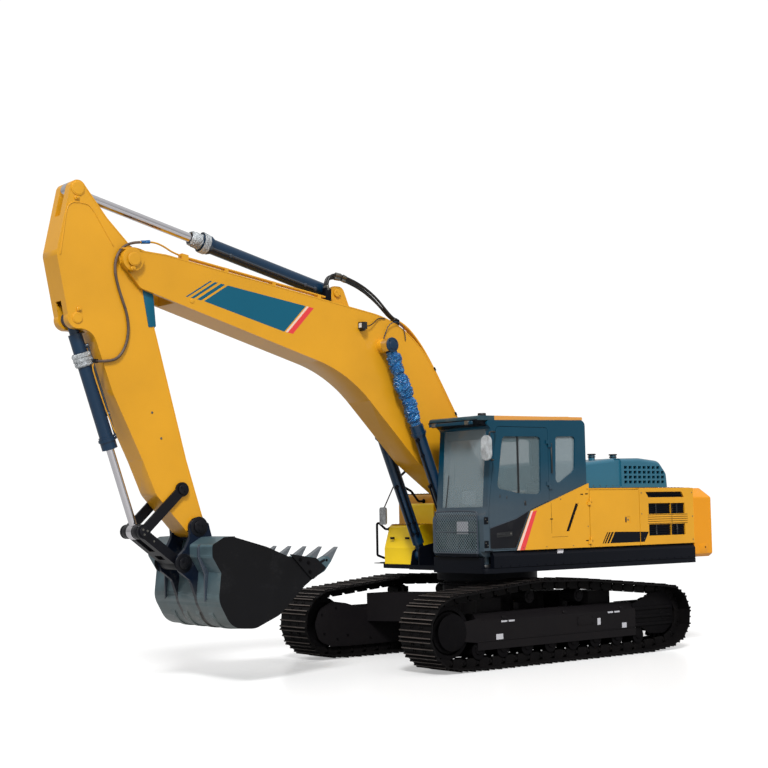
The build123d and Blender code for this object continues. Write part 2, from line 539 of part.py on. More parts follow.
def engine_hood():
    """Crowned hood on two rear hinges: smooth part, groove, pierced part and two vent caps."""
    y0, y1 = HOOD_RIGHT, HOOD_LEFT
    hood = side(HOOD_ROWS, y0, y1)
    rims = [e for face in (hood.faces().sort_by(Axis.Y)[0], hood.faces().sort_by(Axis.Y)[-1])
            for e in face.edges() if e.center().Z > 2300]
    hood = fillet(rims, 55)
    inside = side(HOOD_ROWS, y0 + HOOD_WALL, y1 - HOOD_WALL, -HOOD_WALL)
    mouth = block(HOOD_ROWS[-1][0] + HOOD_WALL, HOOD_ROWS[0][0] - HOOD_WALL, y0 + HOOD_WALL, y1 - HOOD_WALL, 2200, 2340)
    groove = side(HOOD_ROWS, y0 - 20, y1 + 20, 20) - side(HOOD_ROWS, y0 + 22, y1 - 22, -22)
    groove = groove & block(*HOOD_GROOVE, y0 - 30, y1 + 30, 2290, 2800)
    hood = hood - inside - mouth - groove
    p = PIERCED
    holes = [Pos(p["x"] - i * p["pitch_x"], (y0 + y1) / 2, p["z"] + k * p["pitch_z"]) * Box(64, y1 - y0 + 40, 40)
             for i in range(p["columns"]) for k in range(p["rows"]) if i < p["columns"] - 1 or k < p["rows"] - 1]
    hood = hood - Compound(children=holes)
    for x in (-1120, -1560):
        hood = hood + Pos(x, 1000, 2690) * Cylinder(46, 84)
    return hood


def engine_bay():
    engine = block(-2250, -1250, -250, 700, 1330, 2150)
    feet = [block(-2200, -1400, -100, 200, DECK_TOP + SEAT, 1331), block(-2200, -1400, 330, 500, DECK_TOP + SEAT, 1331)]
    node("engine", join(engine, *feet))
    hood = engine_hood()
    covers = block(-2692, -560, HOOD_LEFT - 45, HOUSE_HALF - 60, 2240, COVER_TOP)
    covers = covers + block(-2692, -2280, -HOUSE_HALF + 60, HOUSE_HALF - 60, 2240, COVER_TOP)
    covers = covers + block(-2280.5, -1492, -HOUSE_HALF + 60, HOOD_RIGHT + 30, 2240, COVER_TOP)
    covers = covers + block(-2692, -2650, -700, 700, DECK_TOP + SEAT, 2241)
    hinge_x, hinge_z = HOOD_HINGE
    for y in (-400, 1100):
        hood = hood + drum(HOOD_HINGE, 12, y, y + 40) + block(hinge_x, -2280, y, y + 40, 2276, 2286)
        knuckle = drum(HOOD_HINGE, 12, y - 40 - SEAT, y - SEAT)
        foot = block(hinge_x - 12, hinge_x + 12, y - 40 - SEAT, y - SEAT, 2250, hinge_z)
        covers = join(covers, knuckle, foot)
    node("engine_hood", hood)
    node("deck_covers", covers)
    node("exhaust_pipe", bar((-1750, -760, COVER_TOP + SEAT), (-1750, -760, 2560), 65))


def fittings():
    """Handrails and mirrors at the tank side, the guard in front of the cab's lower glass, the left mirror."""
    top_rail = tube([(150, -900, TANK_TOP + SEAT), (150, -900, 2660), (560, -900, 2660), (905, -900, 2415),
                     (600, -900, 2275), (470, -900, 2130), (370 + SEAT, -900, 2130)], RAIL_TUBE, 45)
    corner_rail = tube([(740, -1290, DECK_TOP + SEAT), (740, -1290, 1310), (862, -1370, 1370),
                        (862, -1370, 1860), (740, -1330, 1740), (740, -1225 - SEAT, 1740)], RAIL_TUBE, 25)
    node("handrails", top_rail, corner_rail)

    x, z0, z1 = CAB["x1"] + 10 + SEAT, 1445, 1985
    frame_tube = tube([(x, 540, z0), (x, 540, z1), (x, 1370, z1), (x, 1370, z0)], 10, 30)
    node("front_guard", frame_tube + bar((x, 540, z0), (x, 1370, z0), 10) + block(x - 3, x + 3, 540, 1370, z0, z1))

    skin = CAB["y1"] + SEAT
    left = tube([(1190, skin, 2985), (1190, 1520, 2985), (1340, 1600, 2985), (1385, 1605, 2940), (1385, 1605, 2670),
                 (1340, 1600, 2625), (1236, 1520, 2625), (1236, skin, 2625)], 10, 18)
    left = left + bar((1385, 1605, 2780), (1425, 1602, 2780), 10)
    left = left + extrude(Plane.YZ.offset(1420) * Pos(1600, 2775) * RectangleRounded(185, 320, 80), 36)
    right = bar((835, -925.2, 2464.7), (868, -1210, 2020), 9)
    right = right + extrude(Plane.YZ.offset(852) * Pos(-1215, 1930) * RectangleRounded(150, 250, 40), 32)
    node("mirrors", left, right)


# --- working equipment --------------------------------------------------------------------------
BOOM_ROWS = [(-46, 2012), (1461, 4494, 1500), (5250, 5078, 300), (5745, 5103), (5855, 4950), (5600, 4650, 80),
             (2565, 3788, 1900), (1421, 2644, 700), (215, 1797)]
ARM_ROWS = [(6285, 5790), (6470, 5780), (6640, 4985, 150), (6495, 4275), (6390, 4133), (6190, 4131, 200),
            (5935, 3418, 600), (5550, 2642, 300), (5370, 2240, 200), (4950, 1790), (4740, 1800), (4720, 1900),
            (4962, 2647, 400), (5384, 4193, 600), (5574, 4715, 250), (5600, 4850), (5620, 5060), (5755, 5201, 120),
            (6000, 5440, 60)]
CREST_SLOPE = (5078.0 - 4494.0) / (5250.0 - 1461.0)     # of the boom's straight top


def boom():
    """Welded box boom with its foot tube, tip fork, crest ears and the bosses of the boom cylinders."""
    face = outline(BOOM_ROWS, lambda x, z: (x, 0, z))
    body = Pos(0, -BOOM_HALF, 0) * extrude(face, amount=2 * BOOM_HALF, dir=(0, 1, 0))
    body = body + drum(BOOM_FOOT, 170, -FOOT_HALF, FOOT_HALF) + drum(BOOM_TIP, 135, -FORK_OUTER, FORK_OUTER)
    inner_half = BOOM_HALF - PLATE
    core = Pos(0, -inner_half, 0) * extrude(offset(face, amount=-PLATE), amount=2 * inner_half, dir=(0, 1, 0))
    body = body - (core & block(420, 5080, -400, 400, 1500, 5200)) - bar((300, 0, 2260), (-200, 0, 2420), 60)
    body = body - block(5120, 6000, -FORK_INNER, FORK_INNER, 4300, 5300)
    body = body - drum(BOOM_FOOT, FOOT_PIN + PIN_FIT, -FOOT_HALF - 1, FOOT_HALF + 1)
    body = body + drum(BOOM_TIP, TIP_PIN, -FORK_OUTER - 20, FORK_OUTER + 20)
    for s in (1, -1):
        ear = side([(2410, 4610), (2545, 4930, 95), (2735, 4930, 95), (2810, 4690)],
                   *at_side(s, EYE_HALF + GAP, EYE_HALF + GAP + 40))
        boss = drum(BOOM_CYL_EYE, 95, *at_side(s, BOOM_HALF, BOOM_CYL_Y - EYE_HALF - GAP))
        body = join(body, ear, boss)
    body = body + drum(ARM_CYL_BASE, SMALL_PIN, -120, 120)
    node("boom", body)
    node("boom_lamp", block(2310, 2390, BOOM_HALF + SEAT, BOOM_HALF + 90, 4370, 4460))


def crest(x, above):
    """Point height on the boom's straight top at x, and above it."""
    return 4494 + CREST_SLOPE * (x - 1461) + above


def clip(x0, x1, y0, y1, height):
    """Block that sits on the boom's straight top."""
    return side([(x0, crest(x0, SEAT)), (x1, crest(x1, SEAT)), (x1, crest(x1, height)), (x0, crest(x0, height))], y0, y1)


def boom_lines():
    """Steel pipes clipped along the boom's top, and the two hoses that arch over its crest."""
    pipes = [bar((2900, y, crest(2900, 40)), (4960, y, crest(4960, 40)), 13) for y in (150, 200)]
    clips = [clip(x - 25, x + 25, 128, 222, 48) for x in (3000, 3700, 4400)]
    manifold = clip(4940, 5030, 128, 222, 72)
    node("boom_pipes", join(*pipes, manifold, *clips))
    hoses = []
    for y in (132, 188):
        hose = tube([(2560, y, crest(2560, 60)), (2530, y, 4960), (2330, y, 5035), (2060, y, 4930),
                     (1850, y, 4760), (1700, y, 4520)], 20, 60)
        hoses.append(hose)
    stand = clip(2500, 2600, 108, 205, 75)
    saddle = side([(1690, 4451), (1760, 4484.5), (1740, 4570), (1670, 4540)], 100, 210)
    node("crest_hoses", join(hoses[0], hoses[1], stand, saddle))


def arm():
    """Welded box arm: fork for the arm cylinder, boss for the bucket cylinder, nose for the bucket pin."""
    face = outline(ARM_ROWS, lambda x, z: (x, 0, z))
    body = Pos(0, -ARM_HALF, 0) * extrude(face, amount=2 * ARM_HALF, dir=(0, 1, 0))
    body = body + drum(ARM_CYL_EYE, 100, -ARM_HALF, ARM_HALF) + drum(BUCKET_PIN, 125, -ARM_HALF - 5, ARM_HALF + 5)
    body = body + drum(BUCKET_CYL_BASE, 120, -ARM_HALF, ARM_HALF)
    inner_half = ARM_HALF - PLATE
    core = Pos(0, -inner_half, 0) * extrude(offset(face, amount=-PLATE), amount=2 * inner_half, dir=(0, 1, 0))
    upper = side([(5300, 4400), (6600, 4400), (6600, 5400), (6150, 5400), (5950, 5150), (5950, 4400)], -200, 200)
    body = body - (core & block(4800, 6700, -400, 400, 2450, 4080)) - (core & upper)
    # slots for the eye of the arm cylinder's rod and for the base of the bucket cylinder
    slot = EYE_HALF + GAP
    body = body - side([(5700, 5290), (6330, 5430), (6800, 5430), (6800, 6000), (5700, 6000)], -slot, slot)
    body = body - side([(6225, 4450), (6225, 3900), (6700, 3900), (6700, 4450)], -slot, slot)
    body = body + drum(BUCKET_CYL_BASE, SMALL_PIN, -ARM_HALF, ARM_HALF)
    body = body - drum(BOOM_TIP, TIP_PIN + PIN_FIT, -400, 400) - drum(BUCKET_PIN, BUCKET_PIN_R + PIN_FIT, -400, 400)
    body = body + drum(ARM_LINK_PIN, SMALL_PIN, -ARM_HALF - 45, ARM_HALF + 45)
    node("arm", body)
    pad = side([(5600, 4706), (5430, 4700, 20), (5368, 4200, 10), (5400, 4196)], -110, 160)
    node("arm_pad", pad - side(ARM_ROWS, -ARM_HALF, ARM_HALF, SEAT))


# the back of the bucket dips below its shoulders, where the wrapper starts
BUCKET_ROWS = [(4800, 1700, 60), (4675, 1739, 30), (4207, 1609, 300), (3887, 1480, 300), (3492, 1440), (3360, 1327),
               (3663, 1125, 300), (4026, 801, 300), (4376, 660, 250), (4700, 680, 250), (4880, 1002, 250), (4830, 1450, 200)]
BUCKET_INSIDE = [(4700, 1900), (4640, 1690), (4750, 1420, 180), (4845, 1010, 225), (4675, 712, 225),
                 (4380, 692, 225), (4040, 835, 275), (3680, 1155, 275), (3430, 1340), (3380, 1900)]
SHOULDER = [(4650, 1743), (4800, 1737, 30), (4962, 1650, 45), (4962, 1515, 70), (4838, 1318, 60), (4790, 1250),
            (4740, 1400)]
EAR = [(4610, 1690), (4690, 1890, 80), (4830, 1978, 110), (4962, 1905, 90), (4945, 1745, 90), (5020, 1600, 60),
       (5130, 1500, 80), (5105, 1345, 90), (4945, 1225, 90), (4870, 1020), (4800, 1100), (4700, 1300)]
SIDE_CUTTER = [(3880, 1512), (3500, 1452, 15), (3352, 1328, 10), (3560, 1192, 30), (3700, 1330, 60)]
ADAPTER = [(3500, 1330), (3415, 1420, 25), (3300, 1470, 15), (3240, 1412, 15), (3345, 1290, 40), (3450, 1240)]


def bucket():
    """Digging bucket: shell, shoulders beside the ears, wear strips, side cutters, adapters and teeth."""
    inner_half = BUCKET_HALF - BUCKET_SIDE
    space = side(BUCKET_INSIDE, -inner_half, inner_half)
    body = side(BUCKET_ROWS, -BUCKET_HALF, BUCKET_HALF) - space
    for s in (1, -1):
        ear = side(EAR, *at_side(s, EAR_INNER, EAR_INNER + EAR_PLATE)) - space
        shoulder = side(SHOULDER, *at_side(s, EAR_INNER + EAR_PLATE - 1, BUCKET_HALF)) - space
        cutter = side(SIDE_CUTTER, *at_side(s, BUCKET_HALF, BUCKET_HALF + 22))
        link_pin = drum(BUCKET_LINK_PIN, SMALL_PIN, *at_side(s, EAR_INNER - 30, EAR_INNER + EAR_PLATE + 20))
        body = join(body, ear, shoulder, cutter, link_pin)
    body = body + drum(BUCKET_PIN, BUCKET_PIN_R, -EAR_INNER - EAR_PLATE - 20, EAR_INNER + EAR_PLATE + 20)
    tips = []
    for k in range(TOOTH_COUNT):
        y = (k - (TOOTH_COUNT - 1) / 2) * TOOTH_PITCH
        body = body + (side(ADAPTER, y - 58, y + 58) - side(BUCKET_INSIDE[:-1] + [(3600, 1900)], -inner_half, inner_half))
        tips.append(side([(3127, 1577), (3312, 1468), (3238, 1398)], y - 42, y + 42))
    strip = side(BUCKET_ROWS, -560, 560, 14) - side(BUCKET_ROWS, -570, 570)
    strip = strip & block(3700, 4800, -600, 600, 600, 1090)
    for y in (-430, -145, 145, 430):
        body = body + (strip & block(3600, 4900, y - 45, y + 45, 500, 1200))
    node("bucket", body)
    node("bucket_teeth", *[t - body for t in tips])


def link_plate(a, b, half, y0, y1):
    """Straight bar between the pins a and b in the side view, half its width to each side."""
    length = hypot(b[0] - a[0], b[1] - a[1])
    nx, nz = -(b[1] - a[1]) / length * half, (b[0] - a[0]) / length * half
    return side([(a[0] + nx, a[1] + nz), (b[0] + nx, b[1] + nz), (b[0] - nx, b[1] - nz), (a[0] - nx, a[1] - nz)], y0, y1)


def linkage():
    """Side links from the arm to the rod's eye, and the box link from there to the bucket."""
    a, b = ARM_LINK_PIN, LINK_JOINT
    links = []
    for s in (1, -1):
        y0, y1 = at_side(s, ARM_HALF + 8, ARM_HALF + 38)
        plate = drum(a, 85, y0, y1) + drum(b, 85, y0, y1) + link_plate(a, b, 60, y0, y1)
        links.append(plate - drum(a, SMALL_PIN + PIN_FIT, y0 - 1, y1 + 1))
    node("side_links", *links)

    a, b = BUCKET_LINK_PIN, LINK_JOINT
    w = ARM_HALF - GAP
    link = drum(a, 82, -w, w) + drum(b, 85, -w, w) + link_plate(a, b, 55, -w, w)
    link = link - drum(b, 330, -EYE_HALF - GAP, EYE_HALF + GAP)
    across = Vector(b[0] - a[0], 0, b[1] - a[1])
    window = Plane(origin=Vector(a[0], 0, a[1]) + across * 0.29, x_dir=across, z_dir=across.cross(Vector(0, 1, 0)))
    link = link - window * Box(80, 150, 300)
    for s in (1, -1):
        link = link - drum(a, SMALL_PIN + PIN_FIT, *at_side(s, EAR_INNER - 31, w))
        side_window = Plane(origin=window.origin + across * 0.24, x_dir=across, z_dir=(0, 1, 0))
        link = link - Pos(0, s * (w - 45), 0) * side_window * Box(150, 46, 80)
    node("bucket_link", link)


NECK = 175.0              # from the base pin to the barrel's tube
GLAND = 150.0


def cylinder(base, eye, y, bore, rod, collar, inside, bore_start=230.0):
    """Barrel and rod of one hydraulic cylinder, with outer radii bore and rod."""
    reach = hypot(eye[0] - base[0], eye[1] - base[1])
    barrel = drum(base, max(bore * 0.95, 90), y - EYE_HALF, y + EYE_HALF)
    barrel = barrel + bar(*along(base, eye, NECK, collar, y), bore)
    barrel = barrel + bar(*along(base, eye, collar - GLAND, collar, y), bore + 12)
    barrel = barrel + bar(*along(base, eye, collar - GLAND + 25, collar - GLAND + 55, y), bore + 24)
    barrel = barrel + bar(*along(base, eye, bore * 0.5, NECK + 1, y), EYE_HALF - 2)
    barrel = barrel - bar(*along(base, eye, bore_start, reach, y), rod + PIN_FIT)
    piston = bar(*along(base, eye, collar - inside, reach - rod * 0.8, y), rod)
    return barrel, piston + drum(eye, rod + 45, y - EYE_HALF, y + EYE_HALF)


def cylinders():
    barrel, rod = cylinder(BOOM_CYL_BASE, BOOM_CYL_EYE, BOOM_CYL_Y, 80, 48, 1880, 480)
    barrel = barrel - drum(BOOM_CYL_BASE, BUCKET_PIN_R + PIN_FIT, 280, 600)
    node("boom_cylinder_barrels", *both(barrel))
    node("boom_cylinder_rods", *both(rod))
    barrel, rod = cylinder(ARM_CYL_BASE, ARM_CYL_EYE, 0, 95, 55, 2060, 160)
    node("arm_cylinder_barrel", barrel - drum(ARM_CYL_BASE, SMALL_PIN + PIN_FIT, -200, 200))
    node("arm_cylinder_rod", rod)
    barrel, rod = cylinder(BUCKET_CYL_BASE, LINK_JOINT, 0, 80, 46, 1560, 480)
    node("bucket_cylinder_barrel", barrel - drum(BUCKET_CYL_BASE, SMALL_PIN + PIN_FIT, -200, 200))
    node("bucket_cylinder_rod", rod)


running_gear()
car_body()
upper_frame()
counterweight()
side_panels()
cab()
engine_bay()
fittings()
boom()
boom_lines()
arm()
bucket()
linkage()
cylinders()

os.makedirs("parts", exist_ok=True)
for name, shape in NODES.items():
    export_step(shape, f"parts/{name}.step")
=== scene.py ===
"""Crawler excavator: finishes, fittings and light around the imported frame. Metres, +X forward, +Y cab side."""
import json
import math

import bmesh
import bpy
from mathutils import Matrix, Vector, noise


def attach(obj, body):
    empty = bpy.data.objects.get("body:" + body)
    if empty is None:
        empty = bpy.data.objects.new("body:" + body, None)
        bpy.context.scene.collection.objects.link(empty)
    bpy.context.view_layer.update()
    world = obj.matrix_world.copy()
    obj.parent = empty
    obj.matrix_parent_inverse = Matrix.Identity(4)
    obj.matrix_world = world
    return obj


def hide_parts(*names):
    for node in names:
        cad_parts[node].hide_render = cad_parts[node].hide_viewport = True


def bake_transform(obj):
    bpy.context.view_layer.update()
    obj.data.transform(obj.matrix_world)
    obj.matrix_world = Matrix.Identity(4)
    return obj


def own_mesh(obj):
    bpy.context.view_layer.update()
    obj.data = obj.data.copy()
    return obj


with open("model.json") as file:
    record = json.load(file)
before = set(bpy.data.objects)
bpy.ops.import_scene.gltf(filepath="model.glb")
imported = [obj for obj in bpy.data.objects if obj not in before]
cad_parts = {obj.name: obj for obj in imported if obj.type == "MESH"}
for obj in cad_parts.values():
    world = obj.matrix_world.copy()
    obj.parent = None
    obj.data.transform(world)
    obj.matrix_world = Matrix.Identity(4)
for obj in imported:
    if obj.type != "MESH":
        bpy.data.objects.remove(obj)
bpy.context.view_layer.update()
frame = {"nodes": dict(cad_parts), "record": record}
NODES = frame["nodes"]


# --- shader groups ------------------------------------------------------------------------------
class Wiring:
    """Short hand for the nodes of one tree."""

    def __init__(self, tree):
        self.tree = tree

    def add(self, kind, **settings):
        made = self.tree.nodes.new(kind)
        for key, value in settings.items():
            setattr(made, key, value)
        return made

    def link(self, source, target):
        self.tree.links.new(source, target)

    def put(self, socket, value):
        """Link a socket, or set a plain value."""
        if isinstance(value, bpy.types.NodeSocket):
            self.link(value, socket)
        else:
            socket.default_value = value

    def noise(self, vector, scale, detail=4.0, roughness=0.55):
        made = self.add("ShaderNodeTexNoise")
        self.put(made.inputs["Vector"], vector)
        self.put(made.inputs["Scale"], scale)
        self.put(made.inputs["Detail"], detail)
        self.put(made.inputs["Roughness"], roughness)
        return made.outputs["Fac"]

    def ramp(self, value, low, high, to_low=0.0, to_high=1.0):
        made = self.add("ShaderNodeMapRange", clamp=True)
        for name, item in (("Value", value), ("From Min", low), ("From Max", high), ("To Min", to_low),
                           ("To Max", to_high)):
            self.put(made.inputs[name], item)
        return made.outputs["Result"]

    def math(self, operation, a, b=0.0):
        made = self.add("ShaderNodeMath", operation=operation)
        self.put(made.inputs[0], a)
        self.put(made.inputs[1], b)
        return made.outputs[0]

    def mix(self, factor, a, b):
        made = self.add("ShaderNodeMix", data_type="RGBA")
        self.put(made.inputs["Factor"], factor)
        for name, item in (("A", a), ("B", b)):
            socket = [s for s in made.inputs if s.name == name and s.type == "RGBA"][0]
            self.put(socket, item)
        return [s for s in made.outputs if s.type == "RGBA"][0]

    def place(self, scale=(1, 1, 1)):
        """Object coordinates, stretched."""
        mapping = self.add("ShaderNodeMapping")
        self.link(self.add("ShaderNodeTexCoord").outputs["Object"], mapping.inputs["Vector"])
        mapping.inputs["Scale"].default_value = scale
        return mapping.outputs["Vector"]

    def where(self, axis):
        """One coordinate of the point at rest."""
        split = self.add("ShaderNodeSeparateXYZ")
        self.link(self.add("ShaderNodeTexCoord").outputs["Object"], split.inputs[0])
        return split.outputs[axis]


def group(name, inputs, outputs, build):
    """A node group with named sockets: rows (name, kind, default)."""
    tree = bpy.data.node_groups.new(name, "ShaderNodeTree")
    for socket_name, kind, default in inputs:
        socket = tree.interface.new_socket(socket_name, in_out="INPUT", socket_type="NodeSocket" + kind)
        socket.default_value = default
    for socket_name, kind in outputs:
        tree.interface.new_socket(socket_name, in_out="OUTPUT", socket_type="NodeSocket" + kind)
    wires = Wiring(tree)
    source, sink = wires.add("NodeGroupInput"), wires.add("NodeGroupOutput")
    for socket_name, value in build(wires, source.outputs).items():
        wires.link(value, sink.inputs[socket_name])
    return tree


def tone_nodes(w, given):
    broad = w.noise(w.place(), given["Scale"], 5.0)
    shade = w.ramp(broad, 0.3, 0.7, w.math("MULTIPLY", given["Variation"], -1.0), given["Variation"])
    tuned = w.add("ShaderNodeHueSaturation")
    w.link(given["Color"], tuned.inputs["Color"])
    w.link(w.math("ADD", shade, 1.0), tuned.inputs["Value"])
    return {"Color": tuned.outputs["Color"]}


def dust_nodes(w, given):
    """Dust that lies lower down and in patches and streaks."""
    patches = w.noise(w.place(), given["Scale"], 8.0, 0.65)
    fall = w.ramp(w.where("Z"), given["Bottom"], given["Top"], 1.0, 0.0)
    streak = w.noise(w.place((9.0, 9.0, 0.8)), 2.0, 5.0)
    mask = w.math("MULTIPLY", w.ramp(patches, 0.38, 0.68), w.ramp(streak, 0.3, 0.65, 0.45, 1.0))
    mask = w.math("MULTIPLY", w.math("MULTIPLY", mask, fall), given["Amount"])
    return {"Color": w.mix(mask, given["Color"], given["Dust"]), "Mask": mask}


def wear_nodes(w, given):
    """Scratched-through patches along fine noise."""
    coarse = w.noise(w.place(), given["Scale"], 6.0, 0.7)
    fine = w.noise(w.place((1.0, 1.0, 3.0)), 60.0, 6.0, 0.7)
    mask = w.math("MULTIPLY", w.ramp(coarse, 0.56, 0.63), w.ramp(fine, 0.45, 0.6))
    mask = w.math("MULTIPLY", mask, given["Amount"])
    return {"Color": w.mix(mask, given["Color"], given["Bare"]), "Mask": mask}


def peel_nodes(w, given):
    ripple = w.noise(w.place(), given["Scale"], 2.0)
    broad = w.noise(w.place(), 3.0, 2.0)
    return {"Height": w.math("ADD", w.math("MULTIPLY", ripple, 0.4), broad)}


def grain_nodes(w, given):
    return {"Height": w.noise(w.place(), given["Scale"], 8.0, 0.7)}


def crinkle_nodes(w, given):
    """Sharp folds, as of film drawn tight round a rod, with pale lights along the folds."""
    folds = w.add("ShaderNodeTexVoronoi", feature="DISTANCE_TO_EDGE")
    bent = w.add("ShaderNodeVectorMath", operation="ADD")
    warp = w.add("ShaderNodeTexNoise")
    w.link(w.place(), warp.inputs["Vector"])
    warp.inputs["Scale"].default_value = 7.0
    w.link(w.place((1.0, 1.0, 0.5)), bent.inputs[0])
    w.link(warp.outputs["Color"], bent.inputs[1])
    w.link(bent.outputs[0], folds.inputs["Vector"])
    w.put(folds.inputs["Scale"], given["Scale"])
    return {"Height": w.ramp(folds.outputs["Distance"], 0.0, 0.3),
            "Mask": w.ramp(folds.outputs["Distance"], 0.02, 0.12, 1.0, 0.0)}


def weave_nodes(w, given):
    """Cross-laid threads."""
    threads = []
    for axis in ("X", "Y", "Z"):
        turn = w.math("MULTIPLY", w.where(axis), given["Scale"])
        threads.append(w.math("SINE", turn))
    height = w.math("MULTIPLY", w.math("MULTIPLY", threads[0], threads[1]), threads[2])
    return {"Height": height, "Mask": w.ramp(height, -0.6, 0.6)}


COLOR, FLOAT = "Color", "Float"
WHITE = (1, 1, 1, 1)
TONE = group("paint_tone", [("Color", COLOR, WHITE), ("Variation", FLOAT, 0.05), ("Scale", FLOAT, 1.0)],
             [("Color", COLOR)], tone_nodes)
DUST = group("settled_dust", [("Color", COLOR, WHITE), ("Dust", COLOR, (0.2, 0.16, 0.12, 1)), ("Amount", FLOAT, 0.5),
                              ("Scale", FLOAT, 3.0), ("Bottom", FLOAT, 0.0), ("Top", FLOAT, 2.0)],
             [("Color", COLOR), ("Mask", FLOAT)], dust_nodes)
WEAR = group("bare_wear", [("Color", COLOR, WHITE), ("Bare", COLOR, (0.3, 0.3, 0.3, 1)), ("Amount", FLOAT, 0.5),
                           ("Scale", FLOAT, 4.0)], [("Color", COLOR), ("Mask", FLOAT)], wear_nodes)
PEEL = group("paint_peel", [("Scale", FLOAT, 400.0)], [("Height", FLOAT)], peel_nodes)
GRAIN = group("cast_grain", [("Scale", FLOAT, 60.0)], [("Height", FLOAT)], grain_nodes)
CRINKLE = group("film_crinkle", [("Scale", FLOAT, 25.0)], [("Height", FLOAT), ("Mask", FLOAT)], crinkle_nodes)
WEAVE = group("cloth_weave", [("Scale", FLOAT, 2000.0)], [("Height", FLOAT), ("Mask", FLOAT)], weave_nodes)


def use(w, tree, **values):
    """Place a group; an underscore in a name stands for a space."""
    made = w.add("ShaderNodeGroup", node_tree=tree)
    for name, value in values.items():
        w.put(made.inputs[name.replace("_", " ")], value)
    return made.outputs


def rgb(red, green, blue):
    """Linear colour from 0-255 display values."""
    def linear(v):
        v /= 255
        return v / 12.92 if v <= 0.04045 else ((v + 0.055) / 1.055) ** 2.4
    return (linear(red), linear(green), linear(blue), 1.0)


def shader(name):
    made = bpy.data.materials.new(name)
    made.use_nodes = True
    w = Wiring(made.node_tree)
    return made, w, made.node_tree.nodes["Principled BSDF"]


def bump(w, surface, height, strength, distance):
    made = w.add("ShaderNodeBump")
    made.inputs["Strength"].default_value = strength
    made.inputs["Distance"].default_value = distance
    w.link(height, made.inputs["Height"])
    w.link(made.outputs["Normal"], surface.inputs["Normal"])


# --- finishes -----------------------------------------------------------------------------------
def paint(name, colour, roughness=0.34, coat=0.35, variation=0.04, dust=0.12, dust_colour=(150, 138, 118),
          dust_top=2.6, wear=0.0, shine=0.5):
    """Sprayed enamel with a light coat, settled dust and a little bare wear."""
    made, w, surface = shader(name)
    tone = use(w, TONE, Color=colour, Variation=variation, Scale=0.9)["Color"]
    worn = use(w, WEAR, Color=tone, Bare=rgb(120, 118, 112), Amount=wear, Scale=3.0)
    dusty = use(w, DUST, Color=worn["Color"], Dust=rgb(*dust_colour), Amount=dust, Scale=2.5, Bottom=0.2,
                Top=dust_top)
    w.link(dusty["Color"], surface.inputs["Base Color"])
    w.link(w.ramp(dusty["Mask"], 0.0, 1.0, roughness, 0.8), surface.inputs["Roughness"])
    surface.inputs["Specular IOR Level"].default_value = shine
    surface.inputs["Coat Weight"].default_value = coat
    surface.inputs["Coat Roughness"].default_value = 0.12
    bump(w, surface, use(w, PEEL, Scale=260.0)["Height"], 0.10, 0.002)
    return made


def steel(name, colour, roughness=0.55, metal=0.6, dust=0.4, dust_colour=(92, 76, 60), grain=70.0, depth=0.35,
          wear=0.5, bare=(150, 146, 140), shine=0.5):
    """Cast or rolled steel with settled dust and rubbed patches."""
    made, w, surface = shader(name)
    tone = use(w, TONE, Color=colour, Variation=0.18, Scale=4.0)["Color"]
    worn = use(w, WEAR, Color=tone, Bare=rgb(*bare), Amount=wear, Scale=7.0)
    dusty = use(w, DUST, Color=worn["Color"], Dust=rgb(*dust_colour), Amount=dust, Scale=6.0, Bottom=0.0, Top=3.0)
    w.link(dusty["Color"], surface.inputs["Base Color"])
    w.link(w.ramp(dusty["Mask"], 0.0, 0.6, roughness, 0.9), surface.inputs["Roughness"])
    w.link(w.ramp(dusty["Mask"], 0.0, 0.6, metal, 0.05), surface.inputs["Metallic"])
    surface.inputs["Specular IOR Level"].default_value = shine
    bump(w, surface, use(w, GRAIN, Scale=grain)["Height"], depth, 0.004)
    return made


def plain(name, colour, roughness, metal=0.0, grain=120.0, depth=0.15, variation=0.06):
    """Moulded, rubber or polished surface with a fine grain."""
    made, w, surface = shader(name)
    w.link(use(w, TONE, Color=colour, Variation=variation, Scale=6.0)["Color"], surface.inputs["Base Color"])
    surface.inputs["Roughness"].default_value = roughness
    surface.inputs["Metallic"].default_value = metal
    bump(w, surface, use(w, GRAIN, Scale=grain)["Height"], depth, 0.001)
    return made


def film(name, colour, light, scale, roughness=0.18):
    """Stretch film: tight folds with pale lights along them."""
    made, w, surface = shader(name)
    folds = use(w, CRINKLE, Scale=scale)
    tone = use(w, TONE, Color=colour, Variation=0.35, Scale=9.0)["Color"]
    w.link(w.mix(w.math("MULTIPLY", folds["Mask"], 0.35), tone, light), surface.inputs["Base Color"])
    surface.inputs["Roughness"].default_value = roughness
    bump(w, surface, folds["Height"], 0.9, 0.012)
    return made


def cloth(name, colour, light):
    made, w, surface = shader(name)
    threads = use(w, WEAVE, Scale=1800.0)
    tone = use(w, TONE, Color=colour, Variation=0.12, Scale=5.0)["Color"]
    w.link(w.mix(w.math("MULTIPLY", threads["Mask"], 0.35), tone, light), surface.inputs["Base Color"])
    surface.inputs["Roughness"].default_value = 0.9
    surface.inputs["Sheen Weight"].default_value = 0.3
    bump(w, surface, threads["Height"], 0.5, 0.002)
    return made


def tinted_glass(name, colour, alpha):
    made, w, surface = shader(name)
    smear = use(w, DUST, Color=colour, Dust=rgb(150, 152, 150), Amount=0.25, Scale=3.0, Bottom=1.6, Top=3.4)
    w.link(smear["Color"], surface.inputs["Base Color"])
    surface.inputs["Roughness"].default_value = 0.05
    surface.inputs["IOR"].default_value = 1.45
    surface.inputs["Alpha"].default_value = alpha
    return made


